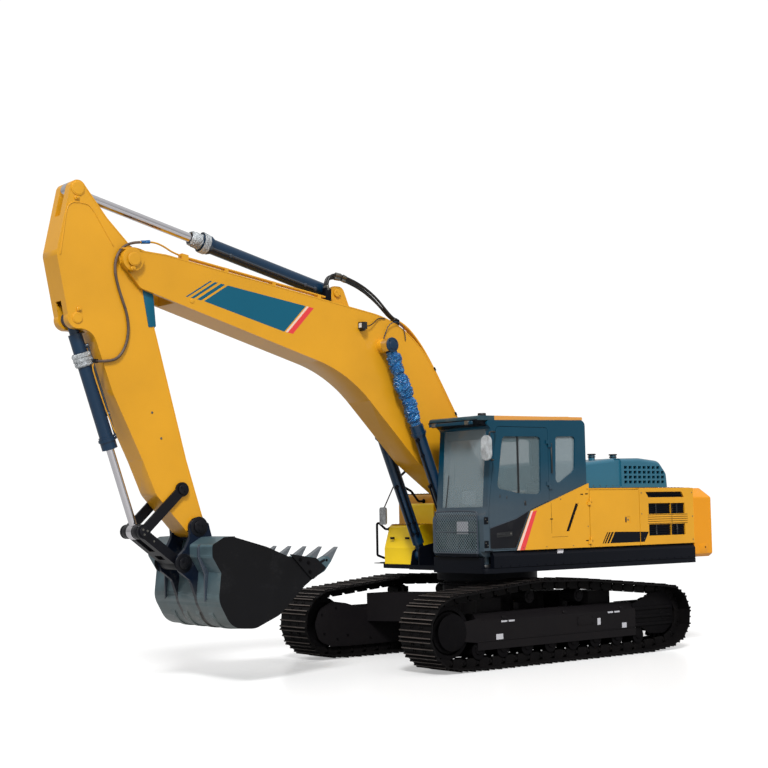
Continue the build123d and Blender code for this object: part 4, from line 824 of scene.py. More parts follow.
def rear_panel_trim():
    piece = Piece("rear_panel_trim", "upper_structure", BLACK, AMBER, ENGINE_IRON, BOLT_STEEL)
    openings = ((2.204, 2.126, -1.669, -2.434, -0.055), (2.044, 1.890, -1.722, -2.195, 0),
                (2.044, 1.890, -2.227, -2.498, 0),
                (1.750, 1.592, -1.722, -2.195, 0), (1.750, 1.592, -2.227, -2.498, 0))
    for top, low, front, rear, slant in openings:
        rows = [(front - 0.002, top - 0.002), (rear + 0.002, top - 0.002), (rear + slant + 0.002, low + 0.002),
                (front + slant - 0.002, low + 0.002)]
        strip(piece, rows, SKIN - 0.0279, 0, 0.0008)
        piece.add(frame_ring([(front + 0.0, top), (rear - 0.0, top), (rear + slant, low), (front + slant, low)],
                             side_place(SKIN - 0.0275), 0.008, (0, 0.0280, 0)), 0)
        count = 3 if slant else 5
        for k in range(count):
            z = low + (top - low) * (k + 0.6) / (count + 0.2)
            shift = slant * (top - z) / (top - low)
            blade = plate([(0.0, -0.009), (0.018, 0.007), (0.018, 0.010), (0.0, -0.006)],
                          lambda u, v, z=z, x=rear + 0.009 + shift: (x, SKIN - 0.026 + u, z - v),
                          (front - rear - 0.018, 0, 0))
            piece.add(blade, 0)
        if not slant:
            x = front - 0.17 if front > -2 else front - 0.11
            piece.add(box((x - 0.012, SKIN - 0.027, low + 0.008), (x + 0.012, SKIN - 0.010, top - 0.008), 0.002), 2)
    strip(piece, [(-2.1970, 2.042), (-2.2250, 2.042), (-2.2250, 1.892), (-2.1970, 1.892)], SKIN, 0)
    strip(piece, [(-2.1970, 1.748), (-2.2250, 1.748), (-2.2250, 1.594), (-2.1970, 1.594)], SKIN, 0)
    # pressed slits between the openings: a black strip under each raised amber rib, painted as the shade in the slit
    for k in range(5):
        z = 1.882 - 0.0305 * k
        piece.add(box((-2.555, SKIN - 0.001, z - 0.0032), (-1.704, SKIN + 0.0006, z + 0.0032), 0.0), 0)
        piece.add(box((-2.555, SKIN - 0.001, z + 0.0034), (-1.704, SKIN + 0.0030, z + 0.0120), 0.0015), 1)
    piece.add(box((-2.214, SKIN, 1.752), (-2.207, SKIN + 0.0034, 1.896), 0.001), 0)
    # the badge's rear end
    strip(piece, [(-1.5405, 1.6535), (-1.711, 1.649), (-1.620, 1.513), (-1.5405, 1.512)], SKIN, 0)
    for x, z in ((-1.575, 2.19), (-1.575, 1.90), (-1.62, 1.56), (-2.66, 2.19), (-2.66, 1.85), (-2.66, 1.52)):
        piece.add(bolt((x, SKIN, z), (0, 1, 0), 0.007), 3)
    piece.add(box((-2.692, 1.44, 2.2545), (-1.54, 1.486, 2.2575), 0.001), 1)
    piece.done()


def counterweight_trim():
    piece = Piece("counterweight_trim", "upper_structure", ORANGE, BLACK, BOLT_STEEL, LENS, RED)
    for y in (0.62, -0.62):
        piece.add(rod((-3.01, y, 2.2552), (-3.01, y, 2.262), 0.080, 0.074, sides=40, edge=0.002), 0)
        piece.add(rod((-3.01, y, 2.2553), (-3.01, y, 2.2625), 0.0335, 0.0335, sides=24), 1)
    for y in (0.95, -0.95):
        face = -math.sqrt(3.43 ** 2 - y ** 2)
        turn = Matrix.Translation((face, y, 1.70)) @ Matrix.Rotation(math.atan2(y, -face) * -1, 4, "Z")
        piece.add(box((0.002, -0.09, -0.05), (-0.006, 0.09, 0.05), 0.002), 1, turn)
        piece.add(rod((-0.004, -0.045, 0), (-0.012, -0.045, 0), 0.034, 0.031, sides=28, edge=0.002), 4, turn)
        piece.add(rod((-0.004, 0.045, 0), (-0.012, 0.045, 0), 0.034, 0.031, sides=28, edge=0.002), 3, turn)
    for y in (1.4855, -1.4855):
        s = 1 if y > 0 else -1
        piece.add(plate([(-2.800, 1.452, 0.02), (-2.800, 1.330, 0.02), (-2.978, 1.330, 0.02), (-2.978, 1.452, 0.02)],
                        side_place(y - s * 0.001), (0, s * 0.0030, 0), 0.001), 0)
        piece.add(rod((-2.93, y, 1.40), (-2.93, y + s * 0.004, 1.40), 0.012, sides=16), 1)
    for y in (-0.32, 0.32):
        piece.add(bolt((-2.90, y, 2.2552), (0, 0, 1), 0.030), 2)
    piece.done()


def deck_trim():
    """Walkway plates, fillers, steps, rails' feet and the exhaust."""
    piece = Piece("deck_fittings", "upper_structure", BLACK, AMBER, BOLT_STEEL, RUBBER, ENGINE_IRON)
    # non-slip plates with raised buttons
    for x0, x1, y0, y1, z, finish in ((-0.54, 0.34, -1.40, -0.50, 2.2352, 0), (-1.44, -0.60, -1.40, -0.70, 2.2352, 0),
                                      (0.50, 0.72, -1.20, -0.60, 1.8055, 0), (-2.66, -2.33, -1.35, 1.35, 2.2622, 0)):
        piece.add(box((x0, y0, z), (x1, y1, z + 0.004), 0.002), finish)
        button = rod((0, 0, z + 0.004), (0, 0, z + 0.009), 0.012, 0.009, sides=8)
        for face in button.faces:
            face.material_index = finish
        rows, columns = int((x1 - x0) / 0.07), int((y1 - y0) / 0.07)
        piece.repeat(button, [Matrix.Translation((x0 + 0.04 + 0.07 * i, y0 + 0.04 + 0.07 * j, 0))
                              for i in range(rows) for j in range(columns)])
    # fuel and oil fillers
    for x, y in ((0.10, -0.62), (-1.05, -0.62)):
        piece.add(rod((x, y, 2.2352), (x, y, 2.262), 0.062, 0.060, sides=32, edge=0.003), 0)
        piece.add(rod((x, y, 2.262), (x, y, 2.300), 0.052, 0.048, sides=32, edge=0.005), 4)
        piece.add(box((x - 0.040, y - 0.006, 2.298), (x + 0.040, y + 0.006, 2.312), 0.003), 4)
    for x, y in ((-0.75, -0.60), (-1.30, -1.1)):
        ring_of_bolts(piece, (x, y, 2.2352), (0, 0, 1), 0.085, 8, 0.009, 2)
        piece.add(rod((x, y, 2.2352), (x, y, 2.246), 0.105, 0.102, sides=40, edge=0.002), 1)
    # lid and hinges of the tool box
    piece.add(box((0.500, -1.205, 1.8054), (0.735, -0.58, 1.8120), 0.003), 1)
    for y in (-1.05, -0.72):
        piece.add(box((0.83, y - 0.04, 1.60), (0.852, y + 0.04, 1.63), 0.003), 0)
    # feet of the handrails
    for x, y, z, axis in ((0.15, -0.90, 2.2352, (0, 0, 1)), (0.3702, -0.90, 2.130, (1, 0, 0)),
                          (0.740, -1.29, 1.2502, (0, 0, 1)),
                          (0.740, -1.2252, 1.740, (0, -1, 0))):
        axis = Vector(axis)
        start = Vector((x, y, z))
        piece.add(rod(start, start + axis * 0.008, 0.036, 0.035, sides=24, edge=0.002), 0)
    # steps under the tool box and beside the cab
    for x in (0.655, 0.705):
        piece.add(box((x, -1.485, 1.2505), (x + 0.022, -1.26, 1.268), 0.003), 0)
    piece.add(box((0.45, -1.478, 1.2505), (0.84, -1.245, 1.262), 0.003), 0)
    # exhaust: heat shield and cut end
    piece.add(rod((-1.75, -0.76, 2.30), (-1.75, -0.76, 2.50), 0.072, 0.072, sides=40, edge=0.004), 4)
    piece.add(rod((-1.75, -0.76, 2.5605), (-1.75, -0.76, 2.5625), 0.055, 0.055, sides=40), 0)
    piece.add(rod((-1.75, -0.76, 2.2625), (-1.75, -0.76, 2.275), 0.100, 0.095, sides=40, edge=0.003), 0)
    # engine: rocker cover, filters, pulley and belt side
    for k in range(6):
        x = -2.16 + 0.16 * k
        piece.add(box((x, -0.05, 2.151), (x + 0.12, 0.45, 2.19), 0.02), 4)
    piece.add(rod((-1.6, 0.702, 1.70), (-1.6, 0.78, 1.70), 0.13, 0.12, sides=36, edge=0.01), 0)
    piece.add(rod((-2.0, 0.702, 1.90), (-2.0, 0.80, 1.90), 0.08, 0.08, sides=30, edge=0.01), 4)
    # pump door: louvres
    for k in range(9):
        z = 1.62 + 0.055 * k
        blade = plate([(0.0, 0.0), (0.010, 0.0), (0.0, 0.028)], lambda u, v, z=z: (-2.50, -1.4898 - u, z + v),
                      (0.72, 0, 0))
        piece.add(blade, 1)
    piece.done()


def pump_door_trim():
    piece = Piece("pump_door_trim", "right_pump_door", AMBER, BLACK, BOLT_STEEL)
    for k in range(10):
        z = 1.60 + 0.052 * k
        for x in (-2.56, -2.10):
            piece.add(plate([(0.0, 0.0), (0.010, 0.0), (0.0, 0.026)], lambda u, v, z=z,
                            x=x: (x, -1.4898 - u, z + v), (0.40, 0, 0)), 0)
            piece.add(box((x + 0.004, -1.4925, z - 0.004), (x + 0.396, -1.4895, z), 0.0), 1)
    piece.add(box((-1.640, -1.4960, 1.80), (-1.560, -1.4895, 1.88), 0.004), 1)
    piece.add(frame_ring([(-1.51, 1.49, 0.02), (-2.67, 1.49, 0.02), (-2.67, 2.215, 0.02), (-1.51, 2.215, 0.02)],
                         side_place(-1.448), 0.030, (0, 0.012, 0)), 0)
    piece.done()


def hood_trim():
    """Dark inside of the pierced part, caps, latches and the screws along the edge of the hood."""
    piece = Piece("hood_fittings", "engine_hood", BLACK, TEAL, RUBBER, BOLT_STEEL)
    inner = [(-1.345, 2.30), (-1.345, 2.618, 0.05), (-1.70, 2.628, 0.3), (-2.08, 2.592, 0.10),
             (-2.215, 2.445, 0.05), (-2.238, 2.30)]
    piece.add(plate(inner, side_place(1.333), (0, -0.010, 0)), 0)
    piece.add(plate(inner, side_place(-0.568), (0, 0.010, 0)), 0)
    for x in (-1.12, -1.56):
        piece.add(rod((x, 1.0, 2.7322), (x, 1.0, 2.750), 0.062, 0.058, sides=32, edge=0.004), 0)
        piece.add(rod((x, 1.0, 2.700), (x, 1.0, 2.712), 0.056, 0.056, sides=32, edge=0.003), 2)
    for y in (-0.30, 0.38, 1.06):
        piece.add(box((-0.5195, y - 0.05, 2.34), (-0.510, y + 0.05, 2.39), 0.003), 0)
    for k in range(6):
        x = -0.60 - 0.13 * k
        piece.add(bolt((x, 1.3852, 2.295), (0, 1, 0), 0.006), 3)
    piece.done()


cab_side_trim()
service_door_trim()
rear_panel_trim()
counterweight_trim()
deck_trim()
pump_door_trim()
hood_trim()


# --- cab ----------------------------------------------------------------------------------------
CAB_SKIN = 1.470
DOOR_WINDOW = [(0.345, 2.945, 0.06), (0.365, 2.185, 0.06), (0.725, 2.195, 0.30), (1.150, 2.270, 0.06),
               (1.035, 2.935, 0.06)]
QUARTER_WINDOW = [(0.065, 2.950, 0.04), (-0.310, 2.960, 0.06), (-0.285, 2.500, 0.12), (0.088, 2.290, 0.06)]
RIGHT_WINDOW = [(1.090, 2.960, 0.06), (-0.400, 2.960, 0.06), (-0.400, 2.180, 0.06), (1.180, 2.180, 0.06)]


def cab_paint():
    """Cab enamel, greyer towards its foot, with dark moulded trim on the inside."""
    made, w, surface = shader("cab_paint")
    x, y, z = w.where("X"), w.where("Y"), w.where("Z")
    height = w.ramp(z, 2.02, 2.62)
    body = w.mix(height, rgb(54, 68, 78), rgb(4, 58, 78))
    tone = use(w, TONE, Color=body, Variation=0.06, Scale=0.9)["Color"]
    slope = w.math("ADD", x, w.math("MULTIPLY", w.math("SUBTRACT", z, 1.96), 0.087))
    inside = w.math("LESS_THAN", w.math("ABSOLUTE", w.math("SUBTRACT", y, 0.98)), 0.437)
    for test in (w.math("LESS_THAN", slope, 1.300), w.math("GREATER_THAN", x, -0.452), w.math("LESS_THAN", z, 3.112),
                 w.math("GREATER_THAN", z, 1.47)):
        inside = w.math("MULTIPLY", inside, test)
    trimmed = w.mix(inside, tone, rgb(44, 50, 56))
    dusty = use(w, DUST, Color=trimmed, Dust=rgb(126, 132, 134), Amount=0.06, Scale=2.5, Bottom=1.4, Top=3.4)
    w.link(dusty["Color"], surface.inputs["Base Color"])
    w.link(w.ramp(inside, 0.0, 1.0, 0.26, 0.7), surface.inputs["Roughness"])
    w.link(w.ramp(inside, 0.0, 1.0, 0.14, 0.0), surface.inputs["Coat Weight"])
    surface.inputs["Specular IOR Level"].default_value = 0.25
    surface.inputs["Coat Roughness"].default_value = 0.1
    bump(w, surface, use(w, PEEL, Scale=260.0)["Height"], 0.08, 0.002)
    return made


CAB_PAINT = cab_paint()
for painted in ("cab_shell", "cab_door"):
    NODES[painted].data.materials[0] = CAB_PAINT


def roof_paint():
    """Roof sheet: amber, with a petrol front end."""
    made, w, surface = shader("roof_paint")
    front = w.math("GREATER_THAN", w.where("X"), 1.16)
    colour = use(w, TONE, Color=w.mix(front, rgb(206, 142, 64), rgb(8, 58, 72)), Variation=0.06, Scale=1.2)["Color"]
    dusty = use(w, DUST, Color=colour, Dust=rgb(176, 150, 120), Amount=0.2, Scale=2.5, Bottom=2.0, Top=6.0)
    w.link(dusty["Color"], surface.inputs["Base Color"])
    w.link(w.ramp(dusty["Mask"], 0.0, 1.0, 0.35, 0.8), surface.inputs["Roughness"])
    surface.inputs["Specular IOR Level"].default_value = 0.3
    bump(w, surface, use(w, PEEL, Scale=260.0)["Height"], 0.1, 0.002)
    return made


NODES["cab_roof"].data.materials[0] = roof_paint()


def cab_windows():
    piece = Piece("cab_window_seals", "upper_structure", SEAL, DARK_GLASS, LABEL, PLASTIC, CLEAR_FILM)
    piece.add(frame_ring(QUARTER_WINDOW, side_place(1.4715), 0.016, (0, -0.030, 0)), 0)
    piece.add(frame_ring(RIGHT_WINDOW, side_place(0.4885), 0.016, (0, 0.030, 0)), 0)
    piece.add(frame_ring([(0.612, 2.382), (1.348, 2.382), (1.348, 2.958), (0.612, 2.958)], front_place(-0.5045),
                         0.016, (0.030, 0, 0)), 0)
    lean = lambda x: (lambda u, v: (x - (v - 2.03) * 0.067, u, v))
    piece.add(frame_ring([(0.582, 2.032, 0.03), (1.378, 2.032, 0.03), (1.378, 3.028, 0.05), (0.582, 3.028, 0.05)],
                         lean(1.3075), 0.018, (-0.020, 0, 0)), 0)
    # grip on the pillar between the door and the quarter window
    piece.add(box((0.142, CAB_SKIN + 0.0003, 2.46), (0.168, CAB_SKIN + 0.016, 2.86), 0.006), 3)
    # lower windscreen: glass, nearly opaque, with the shade of the footwell behind it painted into its dark colour
    piece.add(frame_ring([(0.548, 1.478, 0.04), (1.412, 1.478, 0.04), (1.412, 1.885, 0.04), (0.548, 1.885, 0.04)],
                         front_place(1.4002), 0.020, (0.004, 0, 0)), 0)
    piece.add(plate([(0.568, 1.498, 0.03), (1.392, 1.498, 0.03), (1.392, 1.865, 0.03), (0.568, 1.865, 0.03)],
                    front_place(1.4001), (0.0018, 0, 0)), 1)
    # blank sheets behind the panes
    piece.add(plate([(0.985, 2.068), (1.205, 2.068), (1.205, 2.245), (0.985, 2.245)], lean(1.292), (-0.001, 0, 0)), 2)
    piece.add(plate([(0.965, 1.690), (1.185, 1.690), (1.185, 1.850), (0.965, 1.850)], front_place(1.4020),
                    (0.0006, 0, 0)), 2)
    # sun visor and dark header inside the windscreen
    piece.add(plate([(0.60, 2.90), (1.36, 2.90), (1.36, 3.04), (0.60, 3.04)], lean(1.285), (-0.004, 0, 0)), 3)
    # wiper: arm and blade
    piece.add(hose([(1.318, 0.66, 2.03), (1.312, 0.70, 2.25), (1.300, 0.715, 2.45)], 0.006), 3)
    piece.add(box((1.290, 0.700, 2.25), (1.304, 0.712, 2.72), 0.003), 3, Matrix.Rotation(math.radians(-2.5), 4, "Y"))
    piece.done()

    door = Piece("cab_door_trim", "cab_door", SEAL, PLASTIC, LINK_STEEL, BOLT_STEEL, SLATE)
    door.add(frame_ring(DOOR_WINDOW, side_place(1.4715), 0.016, (0, -0.030, 0)), 0)
    door.add(plate([(0.732, 2.205), (0.762, 2.205), (0.762, 2.935), (0.732, 2.935)], side_place(1.4395),
                   (0, 0.012, 0), 0.002), 0,
             Matrix.Translation((0, 0, 0)))
    # dark lower panel under the slate line, with the handle's well
    door.add(plate([(1.288, 1.500, 0.03), (0.840, 1.500, 0.02), (0.592, 1.968), (0.824, 1.869), (1.288, 1.755)],
                   side_place(CAB_SKIN - 0.001), (0, 0.0022, 0), 0.0008), 2)
    door.add(plate([(1.288, 1.757), (0.824, 1.871), (0.590, 1.974), (0.590, 1.982), (0.824, 1.880), (1.288, 1.767)],
                   side_place(CAB_SKIN - 0.001), (0, 0.005, 0), 0.0015), 4)
    door.add(plate([(0.895, 1.655, 0.02), (1.175, 1.640, 0.02), (1.175, 1.700, 0.02), (0.895, 1.715, 0.02)],
                   side_place(CAB_SKIN + 0.001), (0, 0.002, 0), 0.0008), 0)
    door.add(box((1.03, CAB_SKIN + 0.002, 1.668), (1.165, CAB_SKIN + 0.012, 1.690), 0.004), 1)
    door.add(rod((0.925, CAB_SKIN + 0.002, 1.686), (0.925, CAB_SKIN + 0.006, 1.686), 0.013, sides=20, edge=0.001), 3)
    # door catch, its screws and the inner edge seal
    for x, z in ((0.98, 2.150), (1.10, 2.165)):
        door.add(box((x - 0.008, CAB_SKIN - 0.001, z - 0.020), (x + 0.008, CAB_SKIN + 0.003, z + 0.020), 0.002), 1)
    door.add(box((0.640, CAB_SKIN - 0.001, 2.045), (0.672, CAB_SKIN + 0.010, 2.105), 0.004), 1)
    door.add(frame_ring([(0.225, 3.045, 0.04), (0.225, 2.11), (0.572, 1.998, 0.02), (0.834, 1.500, 0.03),
                         (1.288, 1.500, 0.04),
                         (1.288, 2.000), (1.132, 3.045, 0.06)], side_place(1.4255), 0.018, (0, -0.009, 0)), 0)
    door.add(hose([(0.30, 1.410, 2.10), (0.30, 1.385, 2.14), (0.31, 1.385, 2.40), (0.32, 1.385, 2.62),
                   (0.32, 1.410, 2.66)], 0.011), 1)
    door.done()


def cab_outside():
    """Visor with its lamp, the two mirrors, the guard of the lower windscreen, roof ribs and mounts."""
    piece = Piece("cab_fittings", "upper_structure", BLACK, TEAL, LAMP, LENS, RUBBER, BOLT_STEEL, AMBER)
    piece.add(plate([(1.235, 3.052), (1.472, 3.128, 0.02), (1.472, 3.146, 0.01), (1.235, 3.160)],
                    side_place(0.52), (0, 0.92, 0), 0.002), 0)
    piece.add(box((1.474, 0.56, 3.085), (1.498, 1.40, 3.128), 0.006), 1)
    for y in (0.66, 1.30):
        piece.add(box((1.462, y - 0.045, 3.075), (1.502, y + 0.045, 3.135), 0.010), 2)
        piece.add(box((1.5018, y - 0.036, 3.083), (1.504, y + 0.036, 3.127), 0.003), 5)
    # beacon and rail on the roof
    piece.add(rod((1.30, 1.38, 3.200), (1.30, 1.38, 3.232), 0.055, 0.052, sides=32, edge=0.004), 2)
    for y in (0.62, 0.98, 1.34):
        piece.add(box((-0.38, y - 0.03, 3.205), (1.10, y + 0.03, 3.212), 0.003), 6,
                  Matrix.Translation((0, 0, 0.0085)) @ Matrix.Rotation(math.radians(1.31), 4, "Y"))
    for x in (-0.38, 1.24):
        for y in (0.58, 1.31):
            piece.add(rod((x, y, 1.262), (x, y, 1.300), 0.085, 0.075, sides=32, edge=0.006), 4)
            piece.add(rod((x, y, 1.2505), (x, y, 1.262), 0.095, 0.095, sides=32, edge=0.002), 0)
    # seams of the front pillar and screws in the corner
    piece.add(box((1.250, CAB_SKIN, 1.46), (1.390, CAB_SKIN + 0.002, 1.478), 0.001), 0)
    for z in (1.56, 1.86):
        piece.add(box((1.318, CAB_SKIN, z - 0.045), (1.392, CAB_SKIN + 0.008, z + 0.045), 0.006), 0)
        ring_of_bolts(piece, (1.355, CAB_SKIN + 0.008, z), (0, 1, 0), 0.022, 2, 0.007, 5)
    piece.add(box((1.399, 0.60, 1.400), (1.430, 1.38, 1.425), 0.004), 0)
    piece.done()

    guard = Piece("windscreen_guard", "upper_structure", SLATE, MESH_STEEL)
    x, low, top, near, far = 1.4103, 1.445, 1.985, 1.37, 0.54
    guard.add(hose([(x, far, low), (x, far, top - 0.04), (x, far + 0.04, top), (x, near - 0.04, top),
                    (x, near, top - 0.04), (x, near, low)], 0.010))
    guard.add(rod((x, far, low), (x, near, low), 0.010, sides=14))
    guard.add(rod((x, far, 1.715), (x, near, 1.715), 0.005, sides=8))
    run = top - low
    step = 0.046
    for k in range(-12, 19):
        y = far + k * step
        for lean in (1, -1):
            start, end = (y, low), (y + run, top)
            if lean < 0:
                start, end = (y + run, low), (y, top)
            ends = []
            for a, b in ((start, end), (end, start)):
                share = 0.0
                if a[0] < far:
                    share = (far - a[0]) / (b[0] - a[0])
                if a[0] > near:
                    share = (a[0] - near) / (a[0] - b[0])
                ends.append((a[0] + (b[0] - a[0]) * share, a[1] + (b[1] - a[1]) * share) if share < 1 else None)
            if None in ends or (ends[0][1] > ends[1][1]) == (start[1] < end[1]):
                continue
            guard.add(rod((x, *ends[0]), (x, *ends[1]), 0.0026, sides=5), 1)
    obj = guard.done()
    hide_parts("front_guard")

    left = Piece("mirrors_and_stays", "upper_structure", LAMP, CLEAR_FILM, MIRROR, BLACK)
    left.add(hose([(1.190, 1.4705, 2.985), (1.190, 1.520, 2.985), (1.330, 1.600, 2.985), (1.385, 1.605, 2.975),
                   (1.385, 1.605, 2.930),
                   (1.385, 1.605, 2.680), (1.385, 1.605, 2.635), (1.330, 1.600, 2.625), (1.236, 1.520, 2.625),
                   (1.236, 1.4705, 2.625)],
                  0.010, 10), 0)
    left.add(rod((1.385, 1.605, 2.780), (1.425, 1.602, 2.780), 0.010, sides=12), 0)
    shell = plate([(1.508, 2.616, 0.08), (1.692, 2.616, 0.08), (1.692, 2.934, 0.08), (1.508, 2.934, 0.08)],
                  front_place(1.4195),
                  (0.034, 0, 0), 0.012)
    left.add(shell, 1)
    left.add(plate([(1.524, 2.632, 0.07), (1.676, 2.632, 0.07), (1.676, 2.918, 0.07), (1.524, 2.918, 0.07)],
                   front_place(1.4185),
                   (0.0012, 0, 0)), 2)
    left.add(rod((0.835, -0.9252, 2.4647), (0.868, -1.21, 2.02), 0.009, sides=12), 0)
    left.add(plate([(-1.289, 1.806, 0.035), (-1.141, 1.806, 0.035), (-1.141, 2.054, 0.035), (-1.289, 2.054, 0.035)],
                   front_place(0.852), (0.032, 0, 0), 0.008), 1)
    left.add(plate([(-1.277, 1.818, 0.03), (-1.153, 1.818, 0.03), (-1.153, 2.042, 0.03), (-1.277, 2.042, 0.03)],
                   front_place(0.8508),
                   (0.0010, 0, 0)), 2)
    obj = left.done()
    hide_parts("mirrors")


SEAT_MID = 0.98


def seat():
    """Operator's seat: three stuffed cushions on moulded shells, over a sprung base."""
    pads = Piece("seat_pads", "upper_structure", SEAT_CLOTH)
    y = SEAT_MID
    for low, high, edge in (((-0.035, y - 0.236, 1.668), (0.425, y + 0.236, 1.748), 0.030),
                            ((-0.118, y - 0.222, 1.775), (-0.036, y + 0.222, 2.350), 0.030),
                            ((-0.112, y - 0.118, 2.395), (-0.050, y + 0.118, 2.585), 0.026)):
        pad = box(low, high, edge, 3)
        bmesh.ops.subdivide_edges(pad, edges=pad.edges[:], cuts=2, use_grid_fill=True)
        pads.add(pad)
    obj = pads.done(False)
    obj.data.set_sharp_from_angle(angle=math.pi)
    scene = bpy.context.scene
    remesh = obj.modifiers.new("even", "REMESH")
    remesh.mode, remesh.voxel_size = "VOXEL", 0.006
    bake(obj)
    start = [v.co.copy() for v in obj.data.vertices]
    cloth_pad = obj.modifiers.new("fill", "CLOTH")
    cloth_pad.settings.use_pressure = True
    cloth_pad.settings.uniform_pressure_force = 4.0
    cloth_pad.settings.effector_weights.gravity = 0.0
    for frame_number in range(1, 21):
        scene.frame_set(frame_number)
    bake(obj)
    scene.frame_set(1)
    for vertex, home in zip(obj.data.vertices, start):
        move = vertex.co - home
        if move.length > 0.010:
            vertex.co = home + move.normalized() * 0.010
    # sewn channels across the cushion and the back
    for vertex in obj.data.vertices:
        x, yy, z = vertex.co
        if z < 1.77 and z > 1.71:
            for line in (0.08, 0.24):
                vertex.co.z -= 0.008 * math.exp(-((x - line) / 0.010) ** 2)
        if 1.77 < z < 2.37 and x > -0.077:
            for line in (1.93, 2.10, 2.26):
                vertex.co.x -= 0.008 * math.exp(-((z - line) / 0.010) ** 2)
        if 1.67 < z < 2.37 and (x > -0.077 or z > 1.71 and z < 1.77):
            for line in (y - 0.150, y + 0.150):
                depth = 0.006 * math.exp(-((yy - line) / 0.010) ** 2)
                if z < 1.77:
                    vertex.co.z -= depth
                else:
                    vertex.co.x -= depth
    smooth = obj.modifiers.new("round", "SUBSURF")
    smooth.levels = smooth.render_levels = 1
    bake(obj)
    for polygon in obj.data.polygons:
        polygon.use_smooth = True
    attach(obj, "upper_structure")
    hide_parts("operator_seat")

    base = Piece("seat_base", "upper_structure", PLASTIC, RUBBER, SEAT_CLOTH, RED)
    base.add(box((-0.045, y - 0.235, 1.640), (0.430, y + 0.235, 1.672), 0.012, 2), 0)
    base.add(box((-0.148, y - 0.215, 1.72), (-0.116, y + 0.215, 2.365), 0.014, 2), 0)
    for s in (1, -1):
        base.add(rod((-0.088, y + s * 0.060, 2.345), (-0.088, y + s * 0.060, 2.42), 0.007, sides=12), 0)
        base.add(box((-0.04, y + s * 0.20 - 0.02, 1.600), (0.36, y + s * 0.20 + 0.02, 1.640), 0.006), 0)
        base.add(box((-0.125, y + s * 0.238 - 0.010, 1.66), (-0.060, y + s * 0.238 + 0.010, 1.84), 0.008), 0)
        base.add(box((-0.06, y + s * 0.240 - 0.004, 1.675), (0.10, y + s * 0.240 + 0.008, 1.74), 0.006), 0)
    for k in range(5):
        z = 1.500 + 0.022 * k
        base.add(box((0.02 + 0.004 * (k % 2), y - 0.145, z), (0.36 - 0.004 * (k % 2), y + 0.145, z + 0.020),
                     0.008), 1)
    base.add(box((0.0, y - 0.15, 1.4855), (0.38, y + 0.15, 1.502), 0.006), 0)
    base.add(box((-0.026, y - 0.268, 1.70), (-0.004, y - 0.246, 1.80), 0.005), 3)
    base.done()


def bake(obj):
    """Apply every modifier to the mesh."""
    graph = bpy.context.evaluated_depsgraph_get()
    graph.update()
    mesh = bpy.data.meshes.new_from_object(obj.evaluated_get(graph), depsgraph=graph)
    obj.modifiers.clear()
    old = obj.data
    obj.data = mesh
    bpy.data.meshes.remove(old)
    mesh.name = obj.name


def cab_inside():
    piece = Piece("cab_interior", "upper_structure", PLASTIC, RUBBER, LENS, LINK_STEEL)
    y = SEAT_MID
    for s in (1, -1):
        side_y = y + s * 0.33
        piece.add(rod((0.447, side_y, 2.085), (0.452, side_y, 2.150), 0.030, 0.024, sides=20, edge=0.006), 0)
        piece.add(rod((0.420, side_y, 1.905), (0.424, side_y, 1.935), 0.034, 0.022, sides=20), 1)
        piece.add(box((0.02, side_y - 0.045, 1.935), (0.33, side_y + 0.045, 1.985), 0.015, 2), 1)
        for k in range(4):
            piece.add(box((0.40 - 0.0 * k, side_y - 0.04 + 0.022 * k, 1.958),
                          (0.43, side_y - 0.028 + 0.022 * k, 1.966), 0.002), 2)
        pedal = y + s * 0.13
        piece.add(box((1.045, pedal - 0.045, 1.500), (1.150, pedal + 0.045, 1.520), 0.006), 1)
        piece.add(rod((1.150, pedal, 1.640), (1.152, pedal, 1.672), 0.020, sides=16, edge=0.004), 0)
    piece.add(box((0.20, 0.60, 1.4856), (1.30, 1.36, 1.492), 0.003), 1)
    piece.add(box((0.98, 0.560, 2.02), (1.04, 0.62, 2.25), 0.010), 0)
    piece.add(box((0.985, 0.575, 2.08), (0.978, 0.680, 2.24), 0.0), 2)
    # headliner and rear shelf
    piece.add(box((-0.43, 0.56, 3.075), (1.12, 1.40, 3.098), 0.008), 0)
    piece.add(box((-0.445, 0.56, 1.50), (-0.18, 1.40, 2.10), 0.02), 0)
    piece.add(box((0.60, 1.18, 2.88), (0.95, 1.36, 3.07), 0.02), 0)
    piece.done()


cab_windows()
cab_outside()
seat()
cab_inside()


# --- working equipment --------------------------------------------------------------------------
BOOM_SIDE, ARM_SIDE = 0.230, 0.175
BOOM_TIP = Vector((5.720, 0, 4.970))
BUCKET_PIN, ARM_LINK_PIN = Vector((4.830, 0, 1.859)), Vector((5.035, 0, 2.300))
BUCKET_LINK_PIN, LINK_JOINT = Vector((5.045, 0, 1.436)), Vector((5.550, 0, 1.815))
ARM_EYE, BUCKET_CYLINDER_PIN = Vector((6.375, 0, 5.745)), Vector((6.380, 0, 4.252))
ARM_CYLINDER_PIN = Vector((2.640, 0, 4.840))
BOOM_CYLINDER_PIN, BOOM_CYLINDER_EYE = Vector((0.850, 0, 1.385)), Vector((2.000, 0, 4.165))


